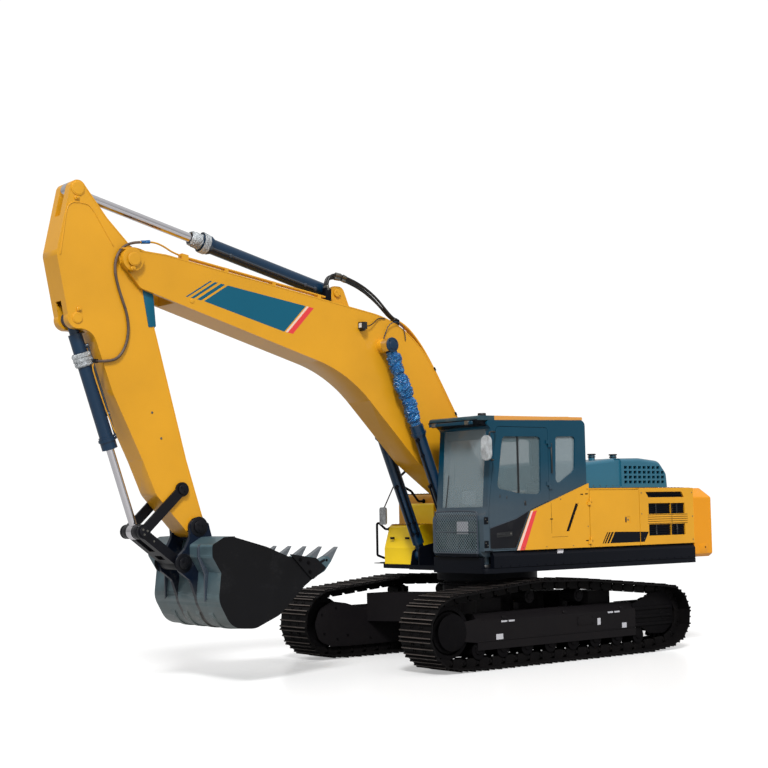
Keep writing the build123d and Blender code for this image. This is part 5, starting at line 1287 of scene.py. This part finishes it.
def side_lip(piece, node, y, width, proud, finish):
    """Raised rim along the edges of a node's flat side at the distance y."""
    made = bmesh.new()
    made.from_mesh(NODES[node].data)
    bmesh.ops.remove_doubles(made, verts=made.verts, dist=1e-5)
    keep = [f for f in made.faces if f.normal.y > 0.999 and abs(f.calc_center_median().y - y) < 1e-4]
    kept = set(keep)
    bmesh.ops.delete(made, geom=[f for f in made.faces if f not in kept], context="FACES")
    bmesh.ops.dissolve_limit(made, angle_limit=0.01, verts=made.verts, edges=made.edges)
    inner = made.faces[:]
    rim = bmesh.ops.inset_region(made, faces=inner, thickness=width, use_even_offset=True, use_boundary=True)["faces"]
    outer = {f for f in rim if min((f.calc_center_median() - Vector((p.x, y, p.z))).length for p in (BOOM_TIP,
            BUCKET_PIN)) > 0.10}
    bmesh.ops.delete(made, geom=[f for f in made.faces if f not in outer], context="FACES")
    grown = bmesh.ops.extrude_face_region(made, geom=made.faces[:])
    bmesh.ops.translate(made, vec=(0, proud, 0),
                        verts=[v for v in grown["geom"] if isinstance(v, bmesh.types.BMVert)])
    bmesh.ops.recalc_face_normals(made, faces=made.faces)
    piece.add(made, finish)


def pin_cap(piece, centre, y, radius, finish, bolts=3, keeper=None):
    """Cap of a hinge pin on the cab side, standing out from y, with its bolts or a keeper plate."""
    x, z = centre.x, centre.z
    piece.add(rod((x, y, z), (x, y + 0.010, z), radius, radius - 0.003, sides=48, edge=0.002), finish)
    piece.add(rod((x, y + 0.010, z), (x, y + 0.013, z), radius * 0.82, radius * 0.80, sides=48), finish)
    if bolts:
        ring_of_bolts(piece, (x, y + 0.012, z), (0, 1, 0), radius * 0.5, bolts, 0.010, finish)
    if keeper:
        kx, kz = x + keeper[0], z + keeper[1]
        piece.add(box((kx - 0.030, y, kz - 0.022), (kx + 0.030, y + 0.016, kz + 0.022), 0.004), finish)
        piece.add(bolt((kx, y + 0.016, kz), (0, 1, 0), 0.012), finish)


def boom_trim():
    piece = Piece("boom_trim", "boom", AMBER, DECAL, RED, NAVY, BOLT_STEEL, PALE)
    side_lip(piece, "boom", BOOM_SIDE, 0.016, 0.003, 0)
    along_top = Vector((-1.165, -0.167)).normalized()
    start, foot = Vector((4.392, 4.779)), Vector((4.735, 4.560))
    strip(piece, [(4.392, 4.779), (3.227, 4.612), (3.564, 4.263), (4.735, 4.560)], BOOM_SIDE, 1)
    top, low = Vector((3.227, 4.612)), Vector((3.564, 4.263))
    for begin, end, finish in ((0.016, 0.046, 5), (0.052, 0.128, 2)):
        strip(piece, [tuple(top + along_top * begin), tuple(top + along_top * end),
                      tuple(low + along_top * (end + 0.006)),
                      tuple(low + along_top * (begin + 0.004))], BOOM_SIDE, finish)
    for begin, width in ((0.040, 0.060), (0.145, 0.042), (0.230, 0.026)):
        a, b = -along_top * begin, -along_top * (begin + width)
        strip(piece, [tuple(start + a), tuple(start + b), tuple(foot + b), tuple(foot + a)], BOOM_SIDE, 1)
    pin_cap(piece, BOOM_TIP, 0.3052, 0.084, 0, 0, (0.020, -0.112))
    piece.add(rod((2.0, 0.4452, 4.165), (2.0, 0.462, 4.165), 0.102, 0.096, sides=48, edge=0.004), 3)
    piece.add(rod((2.0, 0.462, 4.165), (2.0, 0.470, 4.165), 0.060, 0.056, sides=36, edge=0.003), 3)
    ring_of_bolts(piece, (2.0, 0.462, 4.165), (0, 1, 0), 0.078, 4, 0.009, 3)
    pin_cap(piece, ARM_CYLINDER_PIN, 0.1202, 0.055, 0, 2)
    for x, z in ((1.30, 2.75), (4.9, 4.55)):
        piece.add(rod((x, BOOM_SIDE, z), (x, BOOM_SIDE + 0.006, z), 0.030, 0.028, sides=24, edge=0.002), 0)
    # grease lines
    piece.mirrored()
    piece.add(hose([(1.975, 0.236, 4.262), (1.945, 0.250, 4.36), (1.900, 0.270, 4.47), (1.740, 0.270, 4.52),
                    (1.610, 0.250, 4.40), (1.600, 0.236, 4.262)],
                   0.006, 10), 3)
    piece.add(rod((0.1, 0.331, 1.92), (0.1, 0.345, 1.92), 0.090, 0.085, sides=40, edge=0.003), 3)
    piece.add(rod((0.1, -0.331, 1.92), (0.1, -0.345, 1.92), 0.090, 0.085, sides=40, edge=0.003), 3)
    piece.done()

    lamp = Piece("boom_lamp_fittings", "boom", LAMP, LENS, RUBBER)
    lamp.add(frame_ring([(0.238, 4.376, 0.01), (0.314, 4.376, 0.01), (0.314, 4.454, 0.01), (0.238, 4.454, 0.01)],
                        front_place(2.3902),
                        0.010, (0.016, 0, 0)), 0)
    lamp.add(box((2.3903, 0.247, 4.385), (2.394, 0.305, 4.445), 0.0015), 1)
    lamp.add(box((2.335, 0.232, 4.345), (2.365, 0.318, 4.3698), 0.004), 0)
    lamp.add(hose([(2.309, 0.275, 4.415), (2.25, 0.275, 4.41), (2.16, 0.262, 4.46), (2.05, 0.245, 4.55),
                   (1.946, 0.240, 4.536)], 0.007), 2)
    lamp.done()


def crest_height(x):
    """Height of the boom's straight top."""
    return 4.494 + 0.584 / 3.789 * (x - 1.461)


def boom_hoses():
    """Hoses over the crest, and pipes and hoses down the boom's back to the deck."""
    piece = Piece("crest_hose_set", "boom", RUBBER, BOLT_STEEL, BLACK, AMBER)
    for y, lift in ((0.132, 0.0), (0.160, -0.035), (0.188, 0.010)):
        route = [(2.845, y, 4.850), (2.860, y, 4.950), (2.780, y, 5.060 + lift), (2.600, y, 5.050 + lift),
                 (2.300, y, 4.955 + lift),
                 (2.060, y, 4.815 + lift), (1.880, y, 4.650 + lift * 0.5), (1.780, y, 4.570), (1.700, y, 4.530)]
        piece.add(hose(route, 0.017, 10), 0)
        piece.add(rod(route[0], (2.848, y, 4.915), 0.024, 0.021, sides=12, edge=0.002), 1)
        piece.add(rod((2.720, y, 5.060 + lift), (2.630, y, 5.052 + lift), 0.027, 0.025, sides=6, edge=0.002), 1)
        piece.add(rod((2.600, y, 5.047 + lift), (2.545, y, 5.030 + lift), 0.024, 0.024, sides=6, edge=0.002), 1)
        piece.add(rod(route[-1], (1.752, y, 4.556), 0.022, 0.021, sides=12, edge=0.002), 1)
        back = [(1.705, y, 4.535), (1.60, y, 4.50), (1.43, y, 4.38), (1.18, y, 4.10), (0.72, y, 3.355),
                (0.16, y, 2.43)]
        piece.add(hose(back, 0.014, 10), 3)
    piece.add(plate([(2.800, crest_height(2.8) + 0.0003), (2.890, crest_height(2.89) + 0.0003),
                     (2.890, crest_height(2.89) + 0.170, 0.01),
                     (2.800, crest_height(2.8) + 0.170, 0.01)], side_place(0.128), (0, 0.077, 0), 0.003), 2)
    piece.add(plate([(1.690, 4.4515), (1.760, 4.4848), (1.740, 4.570, 0.01), (1.670, 4.540, 0.01)],
                    side_place(0.100), (0, 0.110, 0), 0.003), 2)
    for t in (0.75, 1.5, 2.2):
        centre = Vector((-0.046, 0, 2.012)) + Vector((0.519, 0, 0.855)) * t + Vector((-0.855, 0, 0.519)) * 0.020
        turn = Matrix.Translation(centre) @ Matrix.Rotation(-math.atan2(0.855, 0.519), 4, "Y")
        piece.add(box((-0.025, 0.105, -0.019), (0.025, 0.215, 0.030), 0.004), 2, turn)
    obj = piece.done()
    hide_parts("crest_hoses")

    foot = Piece("foot_hoses", "boom", RUBBER)
    for y in (-0.19, -0.13, -0.07, 0.132, 0.160, 0.188):
        foot.add(hose([(-0.38, y, 1.27), (-0.46, y, 1.55), (-0.45, y, 1.90), (-0.32, y, 2.20), (-0.10, y, 2.34),
                       (0.09, y, 2.33),
                       (0.19, y, 2.47)], 0.017, 10))
    obj = foot.done(False)
    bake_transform(obj)

    tip = Piece("boom_tip_hose", "boom", WRAPPED, BOLT_STEEL, BLUE_FILM)
    for y in (0.197, -0.197):
        tip.add(hose([(5.600, y * 1.13, 5.190), (5.748, y * 1.10, 5.175), (5.890, y * 1.05, 5.040),
                      (5.925, y, 4.840), (5.860, y, 4.600), (5.740, y, 4.300),
                      (5.745, y, 4.020), (5.860, y, 3.815), (6.020, y, 3.768), (6.167, y, 3.766)], 0.0165, 10))
    obj = tip.done(False)
    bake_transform(obj)

    line = Piece("tip_line", "boom", AMBER, BLUE_FILM, BLACK)
    for s in (1, -1):
        line.add(hose([(4.900, s * 0.190, crest_height(4.9) + 0.040),
                       (5.120, s * 0.205, crest_height(5.12) + 0.040), (5.300, s * 0.220, 5.185),
                       (5.450, s * 0.222, 5.215), (5.600, s * 0.2215, 5.190)], 0.011, 10), 0)
        line.add(rod((5.470, s * 0.2218, 5.208), (5.585, s * 0.2215, 5.193), 0.023, 0.021, sides=16, edge=0.004), 1)
    for x in (3.35, 3.95, 4.65):
        line.add(hose([(x - 0.3, -0.16, crest_height(x - 0.3) + 0.028), (x, -0.16, crest_height(x) + 0.028),
                       (x + 0.3, -0.16, crest_height(x + 0.3) + 0.028)],
                      0.011, 4), 0)
    line.done()


def arm_trim():
    piece = Piece("arm_trim", "arm", AMBER, LINK_STEEL, BOLT_STEEL, DECAL)
    side_lip(piece, "arm", ARM_SIDE, 0.015, 0.003, 0)
    pin_cap(piece, ARM_EYE, ARM_SIDE + 0.0002, 0.086, 0, 0, (0.015, -0.112))
    pin_cap(piece, BUCKET_CYLINDER_PIN, ARM_SIDE + 0.0002, 0.066, 0, 0, (-0.02, 0.10))
    piece.add(plate([(5.560, 4.715), (5.425, 4.690), (5.398, 4.560), (5.366, 4.215), (5.465, 4.203)],
                    side_place(ARM_SIDE + 0.0004), (0, 0.006, 0), 0.001), 3)
    weld = [(6.590, 4.960), (6.555, 5.200), (6.520, 5.470), (6.470, 5.575), (6.330, 5.585), (6.215, 5.565),
            (6.110, 5.410), (5.990, 5.225),
            (5.920, 5.120)]
    piece.add(hose([(x, ARM_SIDE + 0.001, z) for x, z in weld], 0.007, 8), 0)
    piece.add(rod((5.035, 0.2202, 2.300), (5.035, 0.236, 2.300), 0.062, 0.058, sides=40, edge=0.003), 1)
    ring_of_bolts(piece, (5.035, 0.236, 2.300), (0, 1, 0), 0.032, 2, 0.011, 1)
    piece.add(rod((4.830, 0.1802, 1.859), (4.830, 0.1845, 1.859), 0.110, 0.108, sides=48), 1)
    for z, x in ((3.2, 5.42), (2.9, 5.30)):
        piece.add(rod((x, ARM_SIDE, z), (x, ARM_SIDE + 0.005, z), 0.014, sides=16, edge=0.001), 2)
    piece.mirrored()
    piece.add(hose([(6.167, 0.186, 3.766), (6.20, 0.182, 3.72), (6.17, 0.180, 3.60), (5.98, 0.180, 3.10),
                    (5.90, 0.180, 2.95)], 0.006, 8), 0)
    piece.add(box((6.135, 0.176, 3.745), (6.195, 0.212, 3.790), 0.004), 1)
    piece.add(box((6.135, -0.212, 3.745), (6.195, -0.176, 3.790), 0.004), 1)
    piece.done()


def bucket_trim():
    piece = Piece("bucket_trim", "bucket", LINK_STEEL, WHEEL_STEEL, TOOTH_STEEL, SLATE)
    for centre, y, radius in ((BUCKET_PIN, 0.2612, 0.075), (BUCKET_LINK_PIN, 0.2612, 0.070)):
        x, z = centre.x, centre.z
        piece.add(rod((x, y, z), (x, y + 0.008, z), radius, radius - 0.003, sides=40, edge=0.002), 0)
        ring_of_bolts(piece, (x, y + 0.008, z), (0, 1, 0), radius * 0.5, 3, 0.010, 0)
        piece.add(rod((x, 0.2412, z), (x, 0.2480, z), radius + 0.045, radius + 0.040, sides=48, edge=0.002), 0)
    piece.add(plate([(4.800, 1.730), (4.985, 1.640, 0.05), (4.990, 1.510, 0.06), (4.900, 1.310, 0.05),
                     (4.895, 0.990), (4.800, 1.100), (4.720, 1.400)],
                    side_place(0.440), (0, 0.028, 0), 0.004), 3)
    # bolts of the side cutters and pins of the teeth
    for x, z in ((3.74, 1.44), (3.62, 1.40), (3.60, 1.29)):
        piece.add(bolt((x, 0.7622, z), (0, 1, 0), 0.018), 1)
    piece.mirrored()
    for k in range(5):
        y = (k - 2) * 0.330
        piece.add(rod((3.315, y - 0.062, 1.420), (3.315, y + 0.062, 1.420), 0.016, sides=14, edge=0.002), 1)
        piece.add(plate([(3.500, 1.332), (3.440, 1.400, 0.01), (3.350, 1.438, 0.01), (3.330, 1.420),
                         (3.420, 1.372)], side_place(y - 0.0625),
                        (0, 0.125, 0), 0.004), 0)
    piece.done()


def along_cylinder(pin, eye, y):
    """Placing with X along the cylinder from its base pin, Y across the machine."""
    ahead = (eye - pin).normalized()
    up = ahead.cross(Vector((0, 1, 0)))
    return Matrix(((ahead.x, 0, up.x, pin.x), (0, 1, 0, y), (ahead.z, 0, up.z, pin.z), (0, 0, 0, 1)))


def cylinder_fittings(name, barrel, pin, eye, y, bore, collar, line_at, wiper):
    """Ports, pressure line, clamps and gland bolts of a barrel, and the wiper at its mouth."""
    turn = along_cylinder(pin, eye, y)
    piece = Piece(name, barrel, BLACK if barrel.startswith("boom") else SLATE, BOLT_STEEL, RUBBER)
    gland = collar - 0.150
    for k in range(10):
        a = 2 * math.pi * (k + 0.5) / 10
        seat = Vector((collar - 0.026, (bore + 0.002) * math.cos(a) * 0.86, (bore + 0.002) * math.sin(a) * 0.86))
        piece.add(bolt(seat + Vector((0.020, 0, 0)), (1, 0, 0), 0.010), 1, turn)
    count = max(2, int(collar / 0.7))
    # clamp bands are open rings, so that the rod slides through them
    band = [((bore + 0.0045) * math.cos(math.radians(a)),
             (bore + 0.0045) * math.sin(math.radians(a))) for a in range(0, 360, 8)]
    for k in range(count):
        x = 0.50 + (gland - 0.75) * k / (count - 1)
        piece.add(frame_ring(band, front_place(x - 0.018), 0.010, (0.036, 0, 0)), 0, turn)
    for ly, lz, far in line_at:
        out = Vector((0, ly, lz)).normalized()
        run, port = out * (bore + 0.024), out * (bore - 0.004)
        for x in (0.34, far):
            at = Vector((x, 0, 0))
            piece.add(rod(at + port, at + out * (bore + 0.036), 0.026, 0.024, sides=16, edge=0.002), 0, turn)
        piece.add(hose([Vector((x, 0, 0)) + run for x in (0.36, 0.60, far - 0.10, far)], 0.013, 4), 0, turn)
        for k in range(count):
            at = Vector((0.50 + (gland - 0.75) * k / (count - 1), 0, 0))
            if at.x < far:
                piece.add(rod(at + out * bore, at + out * (bore + 0.042), 0.024, 0.022, sides=8, edge=0.002), 0, turn)
    rim = [((wiper + 0.022) * math.cos(math.radians(a)),
            (wiper + 0.022) * math.sin(math.radians(a))) for a in range(0, 360, 9)]
    piece.add(frame_ring(rim, front_place(collar + 0.0002), 0.0205, (0.004, 0, 0)), 2, turn)
    return piece


def wrapping(name, finish, body, pin, eye, y, begin, end, radius, depth, rings, seed):
    """Stretch film wound round a bar from begin to end, drawn into folds."""
    turn = along_cylinder(pin, eye, y)
    piece = Piece(name, body, finish)
    sleeve = bmesh.new()
    sides = 40
    ring = bmesh.ops.create_circle(sleeve, segments=sides, radius=radius,
                                   matrix=Matrix.Rotation(math.pi / 2, 4, "Y"))["verts"]
    bmesh.ops.translate(sleeve, vec=(begin, 0, 0), verts=ring)
    edges = sleeve.edges[:]
    for _ in range(rings):
        grown = bmesh.ops.extrude_edge_only(sleeve, edges=edges)["geom"]
        edges = [g for g in grown if isinstance(g, bmesh.types.BMEdge)]
        bmesh.ops.translate(sleeve, vec=((end - begin) / rings, 0, 0),
                            verts=[g for g in grown if isinstance(g, bmesh.types.BMVert)])
    for vert in sleeve.verts:
        x, yy, zz = vert.co
        share = (x - begin) / (end - begin)
        angle = math.atan2(zz, yy)
        where = Vector((x * 9 + seed, yy * 7, zz * 7))
        bulge = noise.fractal(where, 1.0, 2.0, 4) * depth
        crease = abs(noise.noise(Vector((x * 34 + 1.6 * math.sin(angle + seed), yy * 12,
                                         zz * 12 + seed)))) * depth * 1.3
        belly = depth * 0.8 * math.sin(math.pi * min(1.0, max(0.0, share))) ** 0.5
        tie = depth * 1.1 * sum(math.exp(-((share - at) / 0.025) ** 2) for at in (0.03, 0.36, 0.68, 0.97))
        grow = (radius + belly + bulge - crease - tie) / radius
        grow = max(grow, 0.86)
        vert.co.y, vert.co.z = yy * grow, zz * grow
    bmesh.ops.recalc_face_normals(sleeve, faces=sleeve.faces)
    bmesh.ops.solidify(sleeve, geom=sleeve.faces[:], thickness=0.0015)
    piece.add(sleeve, 0, turn)
    return piece


def hydraulics():
    for s, side_name in ((1, "left"), (-1, "right")):
        y = s * 0.385
        cylinder_fittings(side_name + "_boom_cylinder_fittings", "boom_cylinder_barrels", BOOM_CYLINDER_PIN,
                          BOOM_CYLINDER_EYE, y, 0.080, 1.880,
                          ((0.45, -0.9, 1.70), (-0.1, -1.0, 1.05)) if s > 0 else ((0.95, -0.3, 1.70),
                                  (0.5, -0.86, 1.05)),
                          0.048).done()
        piece = wrapping(side_name + "_rod_film", BLUE_FILM, "boom_cylinder_rods", BOOM_CYLINDER_PIN,
                         BOOM_CYLINDER_EYE, y, 1.890, 2.930, 0.084,
                         0.026, 120, 3.0 + s)
        obj = piece.done(False)
        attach(obj, "boom_cylinder_rods")
        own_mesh(obj)
    cylinder_fittings("arm_cylinder_fittings", "arm_cylinder_barrel", ARM_CYLINDER_PIN, ARM_EYE, 0, 0.095, 2.060,
                      ((0.9, -0.45, 1.95),), 0.055).done()
    wrapping("gland_film", CLEAR_FILM, "arm_cylinder_barrel", ARM_CYLINDER_PIN, ARM_EYE, 0, 2.050, 2.215, 0.084,
             0.014, 26, 7.0).done()
    wrapping("collar_film", CLEAR_FILM, "arm_cylinder_barrel", ARM_CYLINDER_PIN, ARM_EYE, 0, 1.965, 2.058, 0.128,
             0.006, 14, 11.0).done()
    cylinder_fittings("bucket_cylinder_fittings", "bucket_cylinder_barrel", BUCKET_CYLINDER_PIN, LINK_JOINT, 0, 0.080,
                      1.560, ((0.6, -1.0, 1.44),), 0.046).done()
    wrapping("port_film", CLEAR_FILM, "bucket_cylinder_barrel", BUCKET_CYLINDER_PIN, LINK_JOINT, 0, 0.40, 0.56,
             0.100, 0.010, 26, 5.0).done()
    for name, body, centre in (("left_eye_seals", "boom_cylinder_rods", 0.385),
                               ("right_eye_seals", "boom_cylinder_rods", -0.385)):
        piece = Piece(name, body, RUBBER)
        piece.add(rod((2.0, centre - 0.0605, 4.165), (2.0, centre - 0.0635, 4.165), 0.075, sides=32), 0)
        piece.done()
    rings = Piece("link_fittings", "side_links", BOLT_STEEL, LINK_STEEL)
    for s in (1, -1):
        x, z = LINK_JOINT.x, LINK_JOINT.z
        rings.add(rod((x, s * 0.2132, z), (x, s * 0.2300, z), 0.066, 0.061, sides=40, edge=0.003), 1)
        ring_of_bolts(rings, (x, s * 0.2300, z), (0, s, 0), 0.034, 3, 0.011, 0)
        for centre in (LINK_JOINT, ARM_LINK_PIN):
            rings.add(frame_ring([(centre.x + 0.0835 * math.cos(math.radians(a)),
                                   centre.z + 0.0835 * math.sin(math.radians(a)))
                                  for a in range(0, 360, 10)], side_place(s * 0.2125), 0.012, (0, s * 0.004, 0)), 1)
    rings.done()
    link = Piece("box_link_fittings", "bucket_link", LINK_STEEL, BOLT_STEEL)
    middle = (BUCKET_LINK_PIN + LINK_JOINT) / 2
    for s in (1, -1):
        link.add(rod((LINK_JOINT.x, s * 0.1692, LINK_JOINT.z), (LINK_JOINT.x, s * 0.1755, LINK_JOINT.z), 0.060,
                     0.056, sides=36, edge=0.002), 0)
        link.add(bolt((middle.x + 0.10, s * 0.169, middle.z + 0.075), (0, s, 0), 0.010), 1)
    link.done()


boom_trim()
boom_hoses()
arm_trim()
bucket_trim()
hydraulics()


# --- stage, light and camera --------------------------------------------------------------------
def stage():
    floor = bpy.data.meshes.new("floor")
    work = bmesh.new()
    bmesh.ops.create_grid(work, x_segments=1, y_segments=1, size=300.0)
    work.to_mesh(floor)
    work.free()
    floor_object = bpy.data.objects.new("floor", floor)
    bpy.context.scene.collection.objects.link(floor_object)
    made, w, surface = shader("pale_floor")
    seen = w.add("ShaderNodeLightPath").outputs["Is Camera Ray"]
    w.link(w.mix(seen, (0.45, 0.45, 0.45, 1), (0.82, 0.82, 0.82, 1)), surface.inputs["Base Color"])
    surface.inputs["Roughness"].default_value = 0.22
    surface.inputs["Emission Color"].default_value = (1, 1, 1, 1)
    w.link(w.math("MULTIPLY", seen, 0.34), surface.inputs["Emission Strength"])
    floor.materials.append(made)

    world = bpy.context.scene.world or bpy.data.worlds.new("studio")
    bpy.context.scene.world = world
    world.use_nodes = True
    w = Wiring(world.node_tree)
    back = world.node_tree.nodes["Background"]
    split = w.add("ShaderNodeSeparateXYZ")
    w.link(w.add("ShaderNodeTexCoord").outputs["Generated"], split.inputs[0])
    sky = w.ramp(split.outputs["Z"], -0.2, 0.9, 0.25, 0.75)
    seen = w.add("ShaderNodeLightPath").outputs["Is Camera Ray"]
    strength = w.math("ADD", w.math("MULTIPLY", seen, 1.05), w.math("MULTIPLY", w.math("SUBTRACT", 1.0, seen), sky))
    back.inputs["Color"].default_value = (1, 1, 1, 1)
    w.link(strength, back.inputs["Strength"])

    for name, energy, angle, turn in (("key", 3.0, 12.0, (47, 0, 138)), ("fill", 0.5, 60.0, (64, 0, 178))):
        light = bpy.data.lights.new(name, "SUN")
        light.energy = energy
        light.angle = math.radians(angle)
        lamp = bpy.data.objects.new(name, light)
        lamp.rotation_euler = [math.radians(a) for a in turn]
        bpy.context.scene.collection.objects.link(lamp)
    bpy.context.scene.view_settings.view_transform = "Standard"


def camera():
    """The view: azimuth and elevation of the line of sight, roll and place."""
    azimuth, elevation, roll = math.radians(141.16), math.radians(-4.92), math.radians(-1.01)
    back = Vector((math.sin(azimuth) * math.cos(elevation), -math.cos(azimuth) * math.cos(elevation),
                   math.sin(elevation)))
    right = (-back).cross(Vector((0, 0, 1))).normalized()
    up = right.cross(-back)
    turned_right = math.cos(roll) * right + math.sin(roll) * up
    turned_up = -math.sin(roll) * right + math.cos(roll) * up
    data = bpy.data.cameras.new("view")
    data.lens = 36 * 1456.5 / 768
    data.clip_end = 2000
    eye = bpy.data.objects.new("view", data)
    eye.matrix_world = Matrix.Translation((13.963, 15.119, 2.024)) @ Matrix(
        (turned_right, turned_up, back)).transposed().to_4x4()
    bpy.context.scene.collection.objects.link(eye)
    bpy.context.scene.camera = eye


stage()
camera()

bpy.context.view_layer.update()
